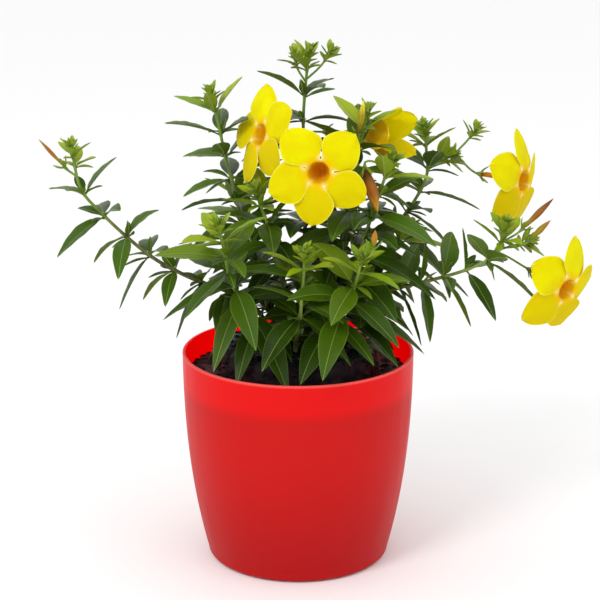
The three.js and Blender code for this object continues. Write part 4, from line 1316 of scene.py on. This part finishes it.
def petal_finish(name, light, deep, throat):
    """A petal's face: yellow, deeper towards the claw, with a brown-orange throat, fine veins, and painted
    highlights along the rim and at the notches.
    """
    made = Finish(name, Roughness=0.6, Specular_IOR_Level=0.05)
    reach, aside, rim = made.parts("place")
    notch_highlight, is_petal, own = made.parts("shade")
    base = made.blend(made.fade(own, 0.0, 1.0, 0, 0.8), light, deep)
    soft = made.blend(made.fade(made.grain(70), 0.35, 0.75, 0, 0.4), base, deep)
    claw = made.blend(made.fade(reach, 20, 29), colour(244, 206, 2), soft)
    streak = made.maths("SINE", made.times(aside, 0.42))
    ringed = made.times(made.fade(streak, 0.2, 1.0), made.maths("SUBTRACT", 1.0, is_petal))
    inner = made.touch(throat, ringed, 0.35, colour(226, 126, 10))
    shown = made.blend(made.fade(reach, 8, 24), inner, claw)
    # A painted highlight at each notch between petals
    shown = made.touch(shown, notch_highlight, 0.85, colour(255, 250, 190))
    # A painted highlight along the petal's rim
    shown = made.blend(made.fade(rim, 0.9, 1.0, 0, 0.55), shown, colour(250, 250, 110))
    made.paint(shown)
    fan = made.maths("SINE", made.times(aside, 5.0))
    made.relief(made.maths("ADD", made.times(fan, 0.5), made.grain(300)), 0.00018, 0.35)
    thin(made, 0.3, shown)
    return made.material


def bud_finish(name, heel, middle, tip):
    """A furled bud: its colour runs from heel to tip, with painted shade in the folds."""
    made = Finish(name, Roughness=0.5, Specular_IOR_Level=0.2)
    share, ridge, _ = made.parts("place")
    low = made.blend(made.fade(share, 0.05, 0.45), heel, middle)
    shown = made.blend(made.fade(share, 0.5, 0.95), low, tip)
    # Painted shade in the folds between the furled petals
    fold_shade = made.fade(ridge, 0.86, 0.95, 0.55, 0.0)
    shown = made.blend(fold_shade, shown, colour(112, 60, 18))
    shown = made.blend(made.fade(made.grain(260, 3), 0.4, 0.75, 0, 0.3), shown, colour(140, 84, 22))
    made.paint(shown)
    made.relief(made.grain(900), 0.00015, 0.5)
    return made.material


def plain_finish(name, shade, roughness):
    made = Finish(name, Roughness=roughness, Specular_IOR_Level=0.2)
    made.paint(shade)
    return made.material


# The look of each bud, from its heel to its tip
BUD_LOOKS = {
    "bud_left_tip": (colour(130, 142, 26), colour(160, 96, 22), colour(146, 120, 34)),
    "bud_right": (colour(140, 134, 32), colour(146, 92, 28), colour(104, 62, 28)),
    "bud_right_green": (colour(112, 134, 30), colour(150, 132, 34), colour(162, 106, 36)),
    "bud_upper": (colour(112, 104, 28), colour(170, 156, 30), colour(244, 226, 70)),
    "bud_spent": (colour(92, 58, 22), colour(156, 92, 20), colour(206, 150, 24)),
    "bud_front": (colour(128, 140, 26), colour(172, 126, 24), colour(176, 112, 30)),
}


def make_plant():
    grow_plant()
    leafy = [leaf_upper_finish(), leaf_under_finish(), bark_finish()]
    for name, shoots in STEMS.items():
        make_stem(name, shoots, leafy)
    face = petal_finish("petal_face", colour(240, 240, 0), colour(224, 204, 0), colour(255, 190, 30))
    # The backs are a deeper orange copy of the faces: painted shade, for backs seen in shade
    back = petal_finish("petal_back_shaded", colour(240, 208, 2), colour(232, 170, 6), colour(224, 140, 20))
    roll = dice(PETAL_SEED)
    for bloom in BLOOMS:
        make_bloom(bloom, [face, back], roll)
    for bud in BUDS:
        make_bud(bud, bud_finish(bud["name"], *BUD_LOOKS[bud["name"]]))
    make_pot(pot_finish())
    make_soil(soil_finish())


# The studio: how far its floor reaches and lies below the pot, how strong the light all round is, and
# the lamps, with their aim, places and sizes in metres and their power in watts
FLOOR_REACH = 6000
FLOOR_DROP = 0.3
SKY_STRENGTH = 1.05
LAMP_AIM = Vector((0, 0, 0.22))
LAMPS = [("key_lamp", (-0.9, -1.3, 1.7), 0.6, 15), ("fill_lamp", (1.3, -1.1, 1.1), 1.2, 3)]


def make_studio():
    """A plain pale floor, soft light all round and two soft lamps above the front."""
    floor_skin = Skin()
    reach = FLOOR_REACH
    corners = [(-reach, -reach, 0), (reach, -reach, 0), (reach, reach, 0), (-reach, reach, 0)]
    floor_skin.face(floor_skin.add(corners))
    floor = floor_skin.object("studio_floor", [plain_finish("floor_white", (0.9, 0.9, 0.9, 1), 0.8)])
    floor.location.z = -FLOOR_DROP * METRES

    world = bpy.data.worlds.new("studio")
    world.use_nodes = True
    sky = world.node_tree.nodes["Background"].inputs
    sky["Color"].default_value = (1, 1, 1, 1)
    sky["Strength"].default_value = SKY_STRENGTH
    bpy.context.scene.world = world

    for name, place, size, power in LAMPS:
        data = bpy.data.lights.new(name, "AREA")
        data.size = size
        data.energy = power
        lamp = bpy.data.objects.new(name, data)
        lamp.location = place
        lamp.rotation_euler = (LAMP_AIM - Vector(place)).to_track_quat("-Z", "Y").to_euler()
        bpy.context.scene.collection.objects.link(lamp)


# The camera: how far it is from the pot's axis, how high it stands, and its lens, for a picture that is
# 600 pixels wide, in which the pot's axis lies a little left of the middle
CAMERA_DISTANCE = 1500
CAMERA_ELEVATION = 16.22
CAMERA_AIM = 206
PICTURE_WIDTH = 600
FOCAL_PIXELS = 1939.4
AXIS_PIXEL = 298.1
SENSOR = 36


def make_camera():
    data = bpy.data.cameras.new("camera")
    data.sensor_width = SENSOR
    data.lens = SENSOR * FOCAL_PIXELS / PICTURE_WIDTH
    data.shift_x = (PICTURE_WIDTH / 2 - AXIS_PIXEL) / PICTURE_WIDTH
    camera = bpy.data.objects.new("camera", data)
    angle = math.radians(CAMERA_ELEVATION)
    back = CAMERA_DISTANCE * METRES
    camera.location = (0, -back * math.cos(angle), CAMERA_AIM * METRES + back * math.sin(angle))
    camera.rotation_euler = (math.pi / 2 - angle, 0, 0)
    bpy.context.scene.collection.objects.link(camera)
    bpy.context.scene.camera = camera


bpy.context.scene.view_settings.view_transform = "Standard"
make_camera()
make_studio()
make_plant()
